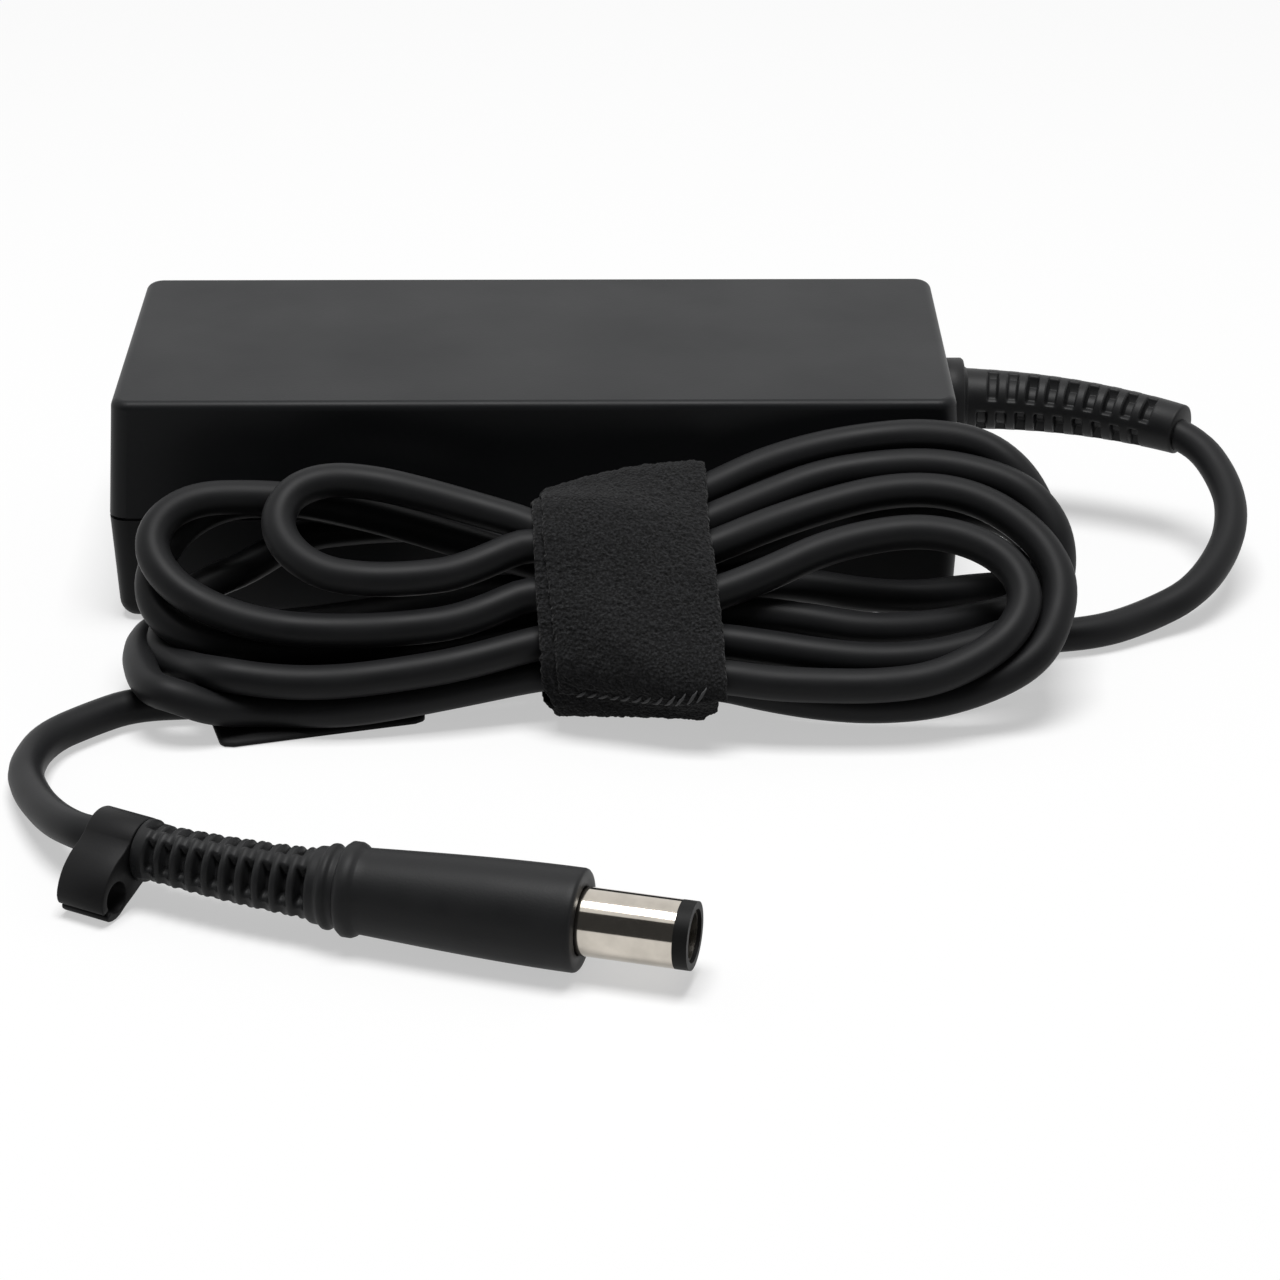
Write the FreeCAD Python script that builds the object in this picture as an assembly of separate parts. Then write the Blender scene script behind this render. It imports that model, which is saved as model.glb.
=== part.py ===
import FreeCAD
import Part
import math
import os
from FreeCAD import Vector

# Laptop power adapter: moulded block, mains inlet, circuit board, output cord in a tied hank, barrel plug.
# Millimetres, +Z up, +X towards the output cord, -Y towards the viewer.
# The origin is the centre of the block's underside.

# Moulded case
case_length = 107.0
case_width = 46.5
case_height = 29.5
parting_height = 14.2
upper_draft = 0.94
lower_draft = 0.60
corner_radius = 2.3
top_edge_radius = 1.1
wall = 2.2
seam_height = 0.4
seam_depth = 0.3
lip_height = 1.6
lip_thickness = 0.9
fit_clearance = 0.1

# Circuit board and the stepped ribs that hold it by its long edges
board_side_gap = 1.6
board_end_gap = 1.2
board_thickness = 1.6
board_height = 5.2
rib_length = 3.0
rib_ledge = 1.4
rib_upstand = 2.4
rib_count = 4
rib_end_margin = 9.0

# Screens, insulation and pads
spreader_thickness = 0.8
spreader_skirt = 11.0
spreader_end_gap = 3.0
spreader_side_gap = 0.2
film_thickness = 0.4
pad_inset = 1.5

# Mains inlet, three pins in a cloverleaf recess
inlet_width = 20.4
inlet_height = 15.2
inlet_depth = 17.0
inlet_setback = 0.8
inlet_corner = 1.5
inlet_flange_thickness = 1.6
inlet_flange_lip = 1.3
recess_depth = 14.0
ear_pitch = 10.0
ear_radius = 3.4
chin_radius = 3.9
chin_drop = 5.4
contact_diameter = 2.4
contact_reach = 9.2
blade_width = 2.0
blade_thickness = 0.8
blade_tail = 2.0

# Parts on the board: spaces between them and their sizes
edge_margin = 0.8
part_gap = 1.0
box_corner = 0.6
can_sides = 20
fuse_length = 8.4
fuse_width = 4.2
fuse_height = 7.8
disc_diameter = 9.0
disc_thickness = 3.8
x_capacitor_length = 13.0
x_capacitor_width = 6.0
x_capacitor_height = 12.0
bridge_length = 14.5
bridge_width = 3.4
bridge_height = 12.0
choke_core_length = 14.0
choke_core_width = 15.0
choke_core_height = 6.0
choke_core_leg = 3.6
choke_coil_wall = 1.6
choke_coil_length = 6.8
choke_base_height = 1.4
bulk_diameter = 16.0
bulk_length = 27.0
auxiliary_diameter = 5.0
auxiliary_height = 11.0
output_can_diameter = 9.6
output_can_height = 15.0
output_choke_side = 8.0
output_choke_height = 6.0
coupler_length = 4.6
coupler_width = 6.4
coupler_height = 3.4
chip_length = 4.9
chip_width = 3.9
chip_height = 1.5

# Transistors clipped to their heatsinks
heatsink_thickness = 1.6
heatsink_height = 16.6
heatsink_foot = 4.0
primary_heatsink_width = 17.0
secondary_heatsink_width = 14.5
package_width = 10.0
package_height = 12.5
package_thickness = 4.4
package_notch = 1.4
package_notch_height = 4.0
package_leg_length = 2.4
package_leg_width = 0.9
package_leg_pitch = 2.54
clip_strip_width = 3.0
clip_strip_thickness = 0.6
clip_strip_foot = 4.2

# Transformer
core_length = 24.0
core_width = 17.0
core_height = 16.6
core_back = 4.0
core_side = 3.0
core_centre = 7.0
bobbin_wall = 0.8
bobbin_flange = 1.2
winding_thickness = 2.6

# Output wires inside the case
output_wire_diameter = 1.5
output_wire_pitch = 2.4
output_wire_reach = 3.0

# Output cord and the bend relief at the case
cord_diameter = 4.2
exit_side_gap = 10.25
exit_z = 15.6
relief_root_diameter = 8.3
relief_end_diameter = 6.4
relief_length = 31.6
relief_bend = 36.0
relief_droop = 6.6
relief_flange_diameter = 10.8
relief_flange_thickness = 1.0
relief_neck_width = 7.4
relief_inner_flange = 1.8
relief_core = 4.6
relief_slot_width = 1.3
relief_slot_pitch = 2.62
relief_first_slot = 4.4
relief_slot_count = 9
relief_slot_roll = 45.0
slot_angle = 50.0
relief_sides = 16
relief_step_angle = 7.5

# Hank: two layers of loops drawn in at the strap
hank_passes = 11
hank_step = 5.0
hank_half_height = 19.0
hank_draw_in = 5.4
hank_layer_step = 4.7
hank_left_reach = 39.0
hank_right_reach = 37.0
hank_short_turn = 6
hank_short_reach = 31.5
hank_flat = 11.0
hank_start_inset = 1.5
hank_bend = 1.2
hank_lean = 36.5
hank_along = 8.0
hank_front_gap = 17.15
hank_height = 16.15
cord_sides = 6

# Hook and loop strap round the hank, and its loose end
strap_width = 21.5
strap_thickness = 1.5
strap_gap = 0.25
strap_tail_width = 25.0
strap_tail_length = 21.0
strap_tail_thickness = 0.7
strap_tail_turn = 15.5
strap_tail_along = -36.7
strap_tail_front_gap = 34.95

# Barrel plug and its bend relief
plug_along = -18.2
plug_front_gap = 78.65
plug_height = 5.75
plug_yaw = -15.5
plug_ring_diameter = 10.4
plug_ring_width = 2.2
plug_ring_edge = 0.6
handle_rear_diameter = 9.4
handle_front_diameter = 11.2
handle_length = 25.5
handle_edge = 0.7
handle_sides = 24
handle_swell = [(0.45, 0.62), (0.8, 0.97)]
plug_relief_length = 31.3
plug_relief_bend = 15.5
plug_relief_front_diameter = 8.7
plug_relief_rear_diameter = 6.6
plug_slot_width = 1.0
plug_slot_pitch = 1.98
plug_first_slot = 4.6
plug_slot_count = 9
plug_slot_roll = 26.0
barrel_diameter = 7.4
barrel_length = 10.6
barrel_wall = 0.45
barrel_root = 3.0
barrel_root_diameter = 7.0
barrel_step = 0.3
tip_length = 1.6
bore_diameter = 5.0
contact_wall = 0.35
centre_pin_diameter = 0.9
centre_pin_setback = 1.2
contact_setback = 0.4

# Cord clip on the plug's collar
clip_width = 6.0
clip_band = 1.1
clip_bore_diameter = 4.3
clip_clearance = 0.35
clip_forward = 6.3
clip_drop = 2.45
clip_mouth = 2.8
clip_place = 4.6
clip_mouth_tilt = 20.0
clip_sides = 24

# Chosen points of the free stretches, between the pieces that hold their ends
lead_first_run = 6.5
lead_points = [
    Vector(92.5, -5.9, 11.9), Vector(92.6, -13.2, 9.3), Vector(89.0, -19.0, 6.3),
    Vector(82.8, -24.2, 3.8), Vector(74.6, -28.3, 2.2), Vector(62.5, -33.0, 2.2),
    Vector(49.2, -39.2, 2.2), Vector(42.4, -43.3, 2.2), Vector(36.9, -47.0, 2.2),
    Vector(32.2, -49.2, 2.5), Vector(27.0, -49.93, 4.3),
]
lead_last_run = 4.5
tail_first_run = 7.4
tail_points = [
    Vector(-50.3, -58.6, 4.4), Vector(-56.7, -63.0, 2.2), Vector(-60.0, -69.8, 2.2),
    Vector(-59.4, -77.4, 3.4),
]
tail_last_run = 8.0
arc_share = 0.45

tiny = 1e-3

# Heights, edges and places that follow from the sizes above
board_top = board_height + board_thickness
board_length = case_length - 2 * (wall + board_end_gap) - 2 * lower_draft
board_width = case_width - 2 * (wall + board_side_gap)
board_left = -board_length / 2
board_right = board_length / 2
part_edge = board_width / 2 - edge_margin
ceiling = case_height - wall
spreader_bottom = ceiling - spreader_thickness
case_end = case_length / 2
case_front = -case_width / 2
exit_y = case_width / 2 - exit_side_gap
hank_centre = Vector(hank_along, case_front - hank_front_gap, hank_height)
strap_tail_corner = Vector(strap_tail_along, case_front - strap_tail_front_gap, 0)
plug_ring_place = Vector(plug_along, case_front - plug_front_gap, plug_height)
inlet_front = -case_end + inlet_setback
inlet_back = inlet_front + inlet_depth
inlet_centre_z = board_top + inlet_height / 2

# Four columns of parts along the board, spread evenly between the inlet and the output end
choke_length = choke_core_length + 2 * choke_coil_wall
filter_width = max(choke_length, x_capacitor_length, bridge_length)
transformer_offset = package_thickness + heatsink_thickness + 2 * part_gap
power_width = max(bulk_length, transformer_offset + core_length)
output_width = max(output_can_diameter, heatsink_thickness + max(package_thickness, heatsink_foot))
end_width = max(output_choke_side, disc_thickness, coupler_length)
columns_start = inlet_back + blade_tail
columns_room = board_right - edge_margin - columns_start
column_gap = (columns_room - filter_width - power_width - output_width - end_width) / 4
filter_column = columns_start + column_gap
power_column = filter_column + filter_width + column_gap
heatsink_x = power_column + package_thickness + part_gap
transformer_x = power_column + transformer_offset
output_column = power_column + power_width + column_gap
end_column = output_column + output_width + column_gap


def upright(shape):
    return [edge for edge in shape.Edges if edge.BoundBox.ZLength > tiny]


def drafted_block(low, high, z_low, z_high, radius=0):
    """Block whose sides lean from its low (length, width) to its high one."""
    block = Part.makeWedge(-low[0] / 2, z_low, -low[1] / 2, -high[1] / 2, -high[0] / 2,
                           low[0] / 2, z_high, low[1] / 2, high[1] / 2, high[0] / 2)
    block.rotate(Vector(0, 0, 0), Vector(1, 0, 0), 90)
    return block.makeFillet(radius, upright(block)) if radius else block


def rounded_plate(length, width, radius, z_low, z_high):
    block = Part.makeBox(length, width, z_high - z_low, Vector(-length / 2, -width / 2, z_low))
    return block.makeFillet(radius, upright(block))


def edges_between(shape, z_low, z_high):
    """Edges that lie wholly between two heights."""
    return [edge for edge in shape.Edges
            if edge.BoundBox.ZMin > z_low - tiny and edge.BoundBox.ZMax < z_high + tiny]


def box_from(size, left, centre_y, base_z):
    return Part.makeBox(size.x, size.y, size.z, Vector(left, centre_y - size.y / 2, base_z))


def moulded_box(size, left, centre_y, base_z, edge=box_corner):
    block = box_from(size, left, centre_y, base_z)
    return block.makeChamfer(edge, upright(block))


def cylinder(diameter, length, base, direction=Vector(0, 0, 1)):
    return Part.makeCylinder(diameter / 2, length, base, direction)


def can(diameter, length, base, along=Vector(0, 0, 1), sides=can_sides):
    """Round part with a many sided outline."""
    across = Vector(0, 0, 1).cross(along)
    if across.Length < tiny:
        across = Vector(1, 0, 0)
    across.normalize()
    up = along.cross(across)
    turns = [2 * math.pi * (k + 0.5) / sides for k in range(sides)]
    outline = [base + (across * math.cos(a) + up * math.sin(a)) * (diameter / 2) for a in turns]
    return faces_of([outline])[0].extrude(along * length)


def faces_of(loops):
    return [Part.Face(Part.makePolygon(loop + loop[:1])) for loop in loops]


# Case shells
def wall_inset(z):
    """How far the outer wall stands in from the parting line at height z."""
    if z <= parting_height:
        return lower_draft * (1 - z / parting_height)
    return upper_draft * (z - parting_height) / (case_height - parting_height)


def outline_at(z, inset):
    """Length and width of the case at height z, less an inset all round."""
    inward = 2 * (wall_inset(z) + inset)
    return case_length - inward, case_width - inward


def lip_ring(extra):
    """Tongue of the seam, along the inner half of the wall."""
    reach = wall - lip_thickness - extra
    low = parting_height - lip_height
    outer = Part.makeBox(case_length - 2 * reach, case_width - 2 * reach, lip_height + extra,
                         Vector(-case_end + reach, case_front + reach, low - extra))
    inner = Part.makeBox(case_length - 2 * wall, case_width - 2 * wall, 3 * lip_height,
                         Vector(-case_end + wall, case_front + wall, low - lip_height))
    return outer.cut(inner)


def seam_ring():
    """Shadow groove round the parting line, half in each shell."""
    low = parting_height - seam_height / 2
    outer = Part.makeBox(case_length + 4, case_width + 4, seam_height,
                         Vector(-case_end - 2, case_front - 2, low))
    inner = Part.makeBox(case_length - 2 * seam_depth, case_width - 2 * seam_depth, seam_height + 2,
                         Vector(-case_end + seam_depth, case_front + seam_depth, low - 1))
    return outer.cut(inner.makeChamfer(corner_radius - seam_depth, upright(inner)))


def inlet_opening():
    """Hole in the left wall that the inlet's front shows through."""
    hole = rounded_plate(inlet_height + 2 * fit_clearance, inlet_width + 2 * fit_clearance,
                         inlet_corner, 0, 3 * wall)
    hole.rotate(Vector(0, 0, 0), Vector(0, 1, 0), 90)
    hole.translate(Vector(-case_end - wall, 0, inlet_centre_z))
    return hole


def square_bar(width, start, end):
    """Square bar along X, on the axis of the output cord's exit."""
    return Part.makeBox(end - start, width, width, Vector(start, exit_y - width / 2, exit_z - width / 2))


def relief_hole():
    return square_bar(relief_neck_width + 2 * fit_clearance, case_end - 2 * wall, case_end + wall)


def board_ribs():
    """Stepped ribs on the long walls: a ledge under the board, an upstand beside it."""
    ribs = []
    root = wall / 2
    inside = case_width / 2 - root
    span = board_length - 2 * rib_end_margin - inlet_depth
    for k in range(rib_count):
        x = board_left + inlet_depth + rib_end_margin + span * k / (rib_count - 1) - rib_length / 2
        for side in (1, -1):
            ledge_y = board_width / 2 - rib_ledge
            stop_y = board_width / 2 + fit_clearance
            for y, top in ((ledge_y, board_height), (stop_y, board_top + rib_upstand)):
                low_y = y if side > 0 else -inside
                ribs.append(Part.makeBox(rib_length, inside - y, top - root, Vector(x, low_y, root)))
    return ribs


def bottom_cover():
    shell = drafted_block(outline_at(0, 0), outline_at(parting_height, 0), 0, parting_height)
    shell = shell.makeFillet(corner_radius, upright(shell) + edges_between(shell, 0, 0))
    cavity = drafted_block(outline_at(wall, wall), outline_at(parting_height, wall), wall, parting_height)
    shell = shell.cut(cavity).fuse(board_ribs())
    return shell.cut([lip_ring(fit_clearance), seam_ring(), inlet_opening(), relief_hole()]).removeSplitter()


def top_cover():
    shell = drafted_block(outline_at(parting_height, 0), outline_at(case_height, 0),
                          parting_height, case_height, corner_radius)
    shell = shell.makeFillet(top_edge_radius, edges_between(shell, case_height, case_height))
    cavity = drafted_block(outline_at(parting_height, wall), outline_at(ceiling, wall),
                           parting_height, ceiling)
    shell = shell.cut(cavity).fuse(lip_ring(0))
    return shell.cut([seam_ring(), inlet_opening(), relief_hole()]).removeSplitter()


# Mains inlet
def contact_places():
    """Y and Z of the two live contacts and the earth contact."""
    recess_height = ear_radius + chin_drop + chin_radius
    ear_z = inlet_centre_z + recess_height / 2 - ear_radius
    return [(-ear_pitch / 2, ear_z), (ear_pitch / 2, ear_z), (0, ear_z - chin_drop)]


def blade_box(extra, start, length, y, z):
    return Part.makeBox(length, blade_width + 2 * extra, blade_thickness + 2 * extra,
                        Vector(start, y - blade_width / 2 - extra, z - blade_thickness / 2 - extra))


def inlet_housing():
    body = rounded_plate(inlet_height, inlet_width, inlet_corner, 0, inlet_depth)
    body.rotate(Vector(0, 0, 0), Vector(0, 1, 0), 90)
    body.translate(Vector(inlet_front, 0, inlet_centre_z))
    flange_x = -case_end + wall + wall_inset(board_top + inlet_height) + fit_clearance
    flange = Part.makeBox(inlet_flange_thickness, inlet_width + 2 * inlet_flange_lip,
                          inlet_height + inlet_flange_lip,
                          Vector(flange_x, -inlet_width / 2 - inlet_flange_lip, board_top))
    body = body.fuse(flange)
    left, right, chin = contact_places()
    start = inlet_front - 1
    depth = recess_depth + 1
    along = Vector(1, 0, 0)
    lobes = [cylinder(2 * r, depth, Vector(start, y, z), along)
             for r, (y, z) in ((ear_radius, left), (ear_radius, right), (chin_radius, chin))]
    shoulder = ear_radius * math.sqrt(0.5)
    jaw = chin_radius * math.sqrt(0.5)
    web = [Vector(start, left[0], left[1] + shoulder), Vector(start, right[0], right[1] + shoulder),
           Vector(start, right[0] + shoulder, right[1] - shoulder), Vector(start, jaw, chin[1] - jaw),
           Vector(start, -jaw, chin[1] - jaw), Vector(start, left[0] - shoulder, left[1] - shoulder)]
    recess = faces_of([web])[0].extrude(Vector(depth, 0, 0))
    slots = [blade_box(fit_clearance, start + depth - 1, inlet_depth, y, z) for y, z in contact_places()]
    return body.cut(lobes + [recess] + slots).removeSplitter()


def inlet_contacts():
    """Three round contacts, each with a flat tail through the housing and down to the board."""
    pieces = []
    floor_x = inlet_front + recess_depth
    tail_x = inlet_back + blade_tail
    for y, z in contact_places():
        pin = cylinder(contact_diameter, contact_reach, Vector(floor_x - contact_reach, y, z),
                       Vector(1, 0, 0))
        blade = blade_box(0, floor_x, tail_x - floor_x, y, z)
        leg = Part.makeBox(blade_thickness, blade_width, z - board_top,
                           Vector(tail_x - blade_thickness, y - blade_width / 2, board_top))
        pieces.append(pin.fuse([blade, leg]).removeSplitter())
    return Part.Compound(pieces)


# Circuit board and the parts on it
def circuit_board():
    return Part.makeBox(board_length, board_width, board_thickness,
                        Vector(board_left, -board_width / 2, board_height))


def beside_inlet():
    """Left end of the room that the inlet leaves along each long edge of the board."""
    return board_left + edge_margin


def auxiliary_capacitor():
    radius = auxiliary_diameter / 2
    return can(auxiliary_diameter, auxiliary_height,
               Vector(beside_inlet() + radius, part_edge - radius, board_top))


def fuse():
    size = Vector(fuse_length, fuse_width, fuse_height)
    left = beside_inlet() + auxiliary_diameter + part_gap
    return moulded_box(size, left, part_edge - size.y / 2, board_top)


def disc_part(left, low_y, along=Vector(0, 1, 0)):
    """Coated disc that stands on its edge, from its left end and lowest Y."""
    across = Vector(0, 0, 1).cross(along)
    middle = Vector(left, low_y, board_top + disc_diameter / 2)
    middle += Vector(abs(across.x), abs(across.y), 0) * (disc_diameter / 2)
    return can(disc_diameter, disc_thickness, middle, along)


def varistor():
    return disc_part(beside_inlet(), -part_edge)


def x_capacitor():
    size = Vector(x_capacitor_length, x_capacitor_width, x_capacitor_height)
    return moulded_box(size, filter_column, part_edge - size.y / 2, board_top)


def bridge_rectifier():
    size = Vector(bridge_length, bridge_width, bridge_height)
    centre_y = part_edge - x_capacitor_width - part_gap - size.y / 2
    return moulded_box(size, filter_column, centre_y, board_top)


def thermistor():
    neighbours = x_capacitor_width + bridge_width + 2 * part_gap
    return disc_part(filter_column, part_edge - neighbours - disc_thickness)


# Line choke: a rectangular ring core with a coil on each long leg, on a base
def choke_centre():
    return Vector(filter_column + choke_length / 2, -part_edge + choke_core_width / 2, board_top)


def choke_base():
    centre = choke_centre()
    size = Vector(choke_length, choke_core_width, choke_base_height)
    return moulded_box(size, centre.x - size.x / 2, centre.y, board_top)


def choke_core():
    centre = choke_centre()
    low = board_top + choke_base_height + choke_coil_wall
    size = Vector(choke_core_length, choke_core_width, choke_core_height)
    outer = box_from(size, centre.x - size.x / 2, centre.y, low)
    window = Vector(size.x - 2 * choke_core_leg, size.y - 2 * choke_core_leg, size.z + 2)
    return outer.cut(box_from(window, centre.x - window.x / 2, centre.y, low - 1))


def choke_windings():
    centre = choke_centre()
    low = board_top + choke_base_height
    across = choke_core_leg + 2 * choke_coil_wall
    around = choke_core_height + 2 * choke_coil_wall
    leg = Vector(choke_core_leg + 2 * fit_clearance, choke_coil_length + 2,
                 choke_core_height + 2 * fit_clearance)
    coils = []
    for side in (-1, 1):
        middle = centre.x + side * (choke_core_length - choke_core_leg) / 2
        coil = box_from(Vector(across, choke_coil_length, around), middle - across / 2, centre.y, low)
        along = [e for e in coil.Edges if e.BoundBox.YLength > tiny]
        coil = coil.makeChamfer(choke_coil_wall / 2, along)
        hole = box_from(leg, middle - leg.x / 2, centre.y, low + choke_coil_wall - fit_clearance)
        coils.append(coil.cut(hole))
    return Part.Compound(coils)


def bulk_capacitor():
    return can(bulk_diameter, bulk_length,
               Vector(power_column, -part_edge + bulk_diameter / 2, board_top + bulk_diameter / 2),
               Vector(1, 0, 0))


def output_can_places():
    x = output_column + output_can_diameter / 2
    y = part_edge - output_can_diameter / 2
    return [Vector(x, y, board_top), Vector(x, y - output_can_diameter - part_gap, board_top)]


def output_capacitors():
    cans = [can(output_can_diameter, output_can_height, place) for place in output_can_places()]
    return Part.Compound(cans)


# Heatsinks, each with a transistor held to it by a spring clip
def heatsink(left, centre_y, width, foot_side):
    """Plate with its top bent over to one side."""
    plate = box_from(Vector(heatsink_thickness, width, heatsink_height), left, centre_y, board_top)
    foot_left = left - heatsink_foot if foot_side < 0 else left + heatsink_thickness
    foot = box_from(Vector(heatsink_foot, width, heatsink_thickness), foot_left, centre_y,
                    board_top + heatsink_height - heatsink_thickness)
    return plate.fuse(foot).removeSplitter()


def package(left, centre_y, notch_side):
    """Flat transistor package on three legs, with its thin tab at the top."""
    base = board_top + package_leg_length
    body = box_from(Vector(package_thickness, package_width, package_height), left, centre_y, base)
    notch_left = left if notch_side < 0 else left + package_thickness - package_notch
    notch = box_from(Vector(package_notch, package_width + 2, package_notch_height), notch_left, centre_y,
                     base + package_height - package_notch_height)
    body = body.cut(notch)
    middle = left + package_thickness / 2 - package_leg_width / 2
    leg = Vector(package_leg_width, package_leg_width, package_leg_length)
    legs = [box_from(leg, middle, centre_y + k * package_leg_pitch, board_top) for k in (-1, 0, 1)]
    return body.fuse(legs).removeSplitter()


def primary_place():
    return heatsink_x - package_thickness, part_edge - primary_heatsink_width / 2


def secondary_place():
    return output_column, -part_edge + secondary_heatsink_width / 2


def primary_heatsink():
    return heatsink(heatsink_x, primary_place()[1], primary_heatsink_width, -1)


def primary_transistor():
    left, centre_y = primary_place()
    return package(left, centre_y, -1)


def secondary_heatsink():
    left, centre_y = secondary_place()
    return heatsink(left, centre_y, secondary_heatsink_width, 1)


def output_rectifier():
    left, centre_y = secondary_place()
    return package(left + heatsink_thickness, centre_y, 1)


def spring_clip(face_x, centre_y, side):
    """Strip that hangs from the bent top of a heatsink and presses on the package."""
    low = board_top + package_leg_length + clip_strip_foot
    high = board_top + heatsink_height - heatsink_thickness
    left = face_x if side > 0 else face_x - clip_strip_thickness
    return box_from(Vector(clip_strip_thickness, clip_strip_width, high - low), left, centre_y, low)


def heatsink_clips():
    left, centre_y = primary_place()
    first = spring_clip(left, centre_y, -1)
    left, centre_y = secondary_place()
    second = spring_clip(left + heatsink_thickness + package_thickness, centre_y, 1)
    return Part.Compound([first, second])


# Transformer: two ferrite halves that meet inside a wound bobbin
def transformer_centre_y():
    return part_edge - core_width / 2


def core_window():
    return core_height - 2 * core_back


def core_room():
    """Length between the core's outer legs."""
    return core_length - 2 * core_side


def transformer_core():
    halves = []
    for k in (0, 1):
        base = board_top + k * core_height / 2
        half = box_from(Vector(core_length, core_width, core_height / 2), transformer_x,
                        transformer_centre_y(), base)
        space_z = base + core_back if k == 0 else base
        middle = transformer_x + core_length / 2
        space = box_from(Vector(core_room(), core_width + 2, core_window() / 2), middle - core_room() / 2,
                         transformer_centre_y(), space_z)
        leg = box_from(Vector(core_centre, core_centre, core_window() / 2), middle - core_centre / 2,
                       transformer_centre_y(), space_z)
        halves.append(half.cut(space.cut(leg)).removeSplitter())
    return Part.Compound(halves)


def square_sleeve(inner, outer_x, outer_y, low, height):
    """Upright sleeve round the core's centre leg."""
    middle = transformer_x + core_length / 2
    outer = box_from(Vector(outer_x, outer_y, height), middle - outer_x / 2, transformer_centre_y(), low)
    hole = box_from(Vector(inner, inner, height + 2), middle - inner / 2, transformer_centre_y(), low - 1)
    return outer.cut(hole)


def bobbin_low():
    return board_top + core_back + fit_clearance


def bobbin_height():
    return core_window() - 2 * fit_clearance


def transformer_bobbin():
    inner = core_centre + 2 * fit_clearance
    tube = inner + 2 * bobbin_wall
    flange_x = core_room() - 2 * fit_clearance
    shape = square_sleeve(inner, tube, tube, bobbin_low(), bobbin_height())
    for low in (bobbin_low(), bobbin_low() + bobbin_height() - bobbin_flange):
        shape = shape.fuse(square_sleeve(inner, flange_x, core_width, low, bobbin_flange))
    return shape.removeSplitter()


def transformer_winding():
    inner = core_centre + 2 * fit_clearance + 2 * bobbin_wall
    outer = inner + 2 * winding_thickness
    height = bobbin_height() - 2 * bobbin_flange
    coil = square_sleeve(inner, outer, outer, bobbin_low() + bobbin_flange, height)
    corners = [e for e in upright(coil) if abs(e.CenterOfMass.y - transformer_centre_y()) > inner / 2 + tiny]
    return coil.makeChamfer(winding_thickness / 2, corners)


def output_choke():
    size = Vector(output_choke_side, output_choke_side, output_choke_height)
    return moulded_box(size, end_column, -part_edge + size.y / 2, board_top)


def y_capacitor():
    return disc_part(end_column, -part_edge + output_choke_side + part_gap, Vector(1, 0, 0))


def optocoupler():
    size = Vector(coupler_length, coupler_width, coupler_height)
    centre_y = -part_edge + output_choke_side + disc_diameter + 2 * part_gap + size.y / 2
    return moulded_box(size, end_column, centre_y, board_top, box_corner / 2)


def control_chip():
    """Small chip under the board, in the space above the insulation film."""
    size = Vector(chip_length, chip_width, chip_height)
    return moulded_box(size, power_column, 0, board_height - size.z, box_corner / 2)


# Screens, film and pads
def top_heat_spreader():
    """Aluminium sheet under the lid, bent down along both long sides."""
    length, width = outline_at(ceiling, wall + spreader_side_gap)
    length -= 2 * spreader_end_gap
    low = spreader_bottom - spreader_skirt
    outer = Part.makeBox(length, width, ceiling - low, Vector(-length / 2, -width / 2, low))
    inner = Part.makeBox(length + 2, width - 2 * spreader_thickness, spreader_skirt,
                         Vector(-length / 2 - 1, -width / 2 + spreader_thickness, low))
    return outer.cut(inner)


def floor_sheet(thickness, base_z):
    """Flat sheet between the ribs, on the floor of the case."""
    length = board_length - 2 * spreader_end_gap
    width = board_width - 2 * rib_ledge - 2 * spreader_side_gap
    return Part.makeBox(length, width, thickness, Vector(-length / 2, -width / 2, base_z))


def bottom_heat_spreader():
    return floor_sheet(spreader_thickness, wall)


def insulation_film():
    return floor_sheet(film_thickness, wall + spreader_thickness)


def pad_over(left, length, centre_y, width, low):
    """Soft pad that fills the height from a hot part to the sheet above it."""
    size = Vector(length - 2 * pad_inset, width - 2 * pad_inset, spreader_bottom - low)
    return box_from(size, left + pad_inset, centre_y, low)


def thermal_pads():
    sink_top = board_top + heatsink_height
    foot = heatsink_foot + heatsink_thickness
    first_left, first_y = heatsink_x - heatsink_foot, primary_place()[1]
    second_left, second_y = secondary_place()
    return Part.Compound([
        pad_over(transformer_x, core_length, transformer_centre_y(), core_width, board_top + core_height),
        pad_over(first_left, foot, first_y, primary_heatsink_width, sink_top),
        pad_over(second_left, foot, second_y, secondary_heatsink_width, sink_top)])


# Bent, tapered bend reliefs with windows
class Bend:
    """Circular arc that leaves a point in one direction and curves towards a side."""

    def __init__(self, start, along, side, length, angle):
        self.start = start
        self.along = along
        self.side = side
        self.length = length
        self.radius = length / math.radians(angle)

    def place(self, distance):
        turn = distance / self.radius
        return (self.start + self.along * (self.radius * math.sin(turn))
                + self.side * (self.radius * (1 - math.cos(turn))))

    def direction(self, distance):
        turn = distance / self.radius
        return self.along * math.cos(turn) + self.side * math.sin(turn)

    def across(self, distance):
        turn = distance / self.radius
        return self.side * math.cos(turn) - self.along * math.sin(turn)

    def point(self, distance, radius, angle):
        """Point beside the arc, at an angle about it from its curving side."""
        across = self.across(distance)
        up = self.direction(distance).cross(across)
        return self.place(distance) + across * (radius * math.cos(angle)) + up * (radius * math.sin(angle))


def skinned(rings):
    """Solid through rings of points, with a flat side between each pair of neighbours."""
    loops = [rings[0], rings[-1]]
    for low, high in zip(rings, rings[1:]):
        for i in range(len(low)):
            j = (i + 1) % len(low)
            loops.append([low[i], low[j], high[j], high[i]])
    solid = Part.Solid(Part.Shell(faces_of(loops)))
    if solid.Volume < 0:
        solid.reverse()
    return solid


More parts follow.
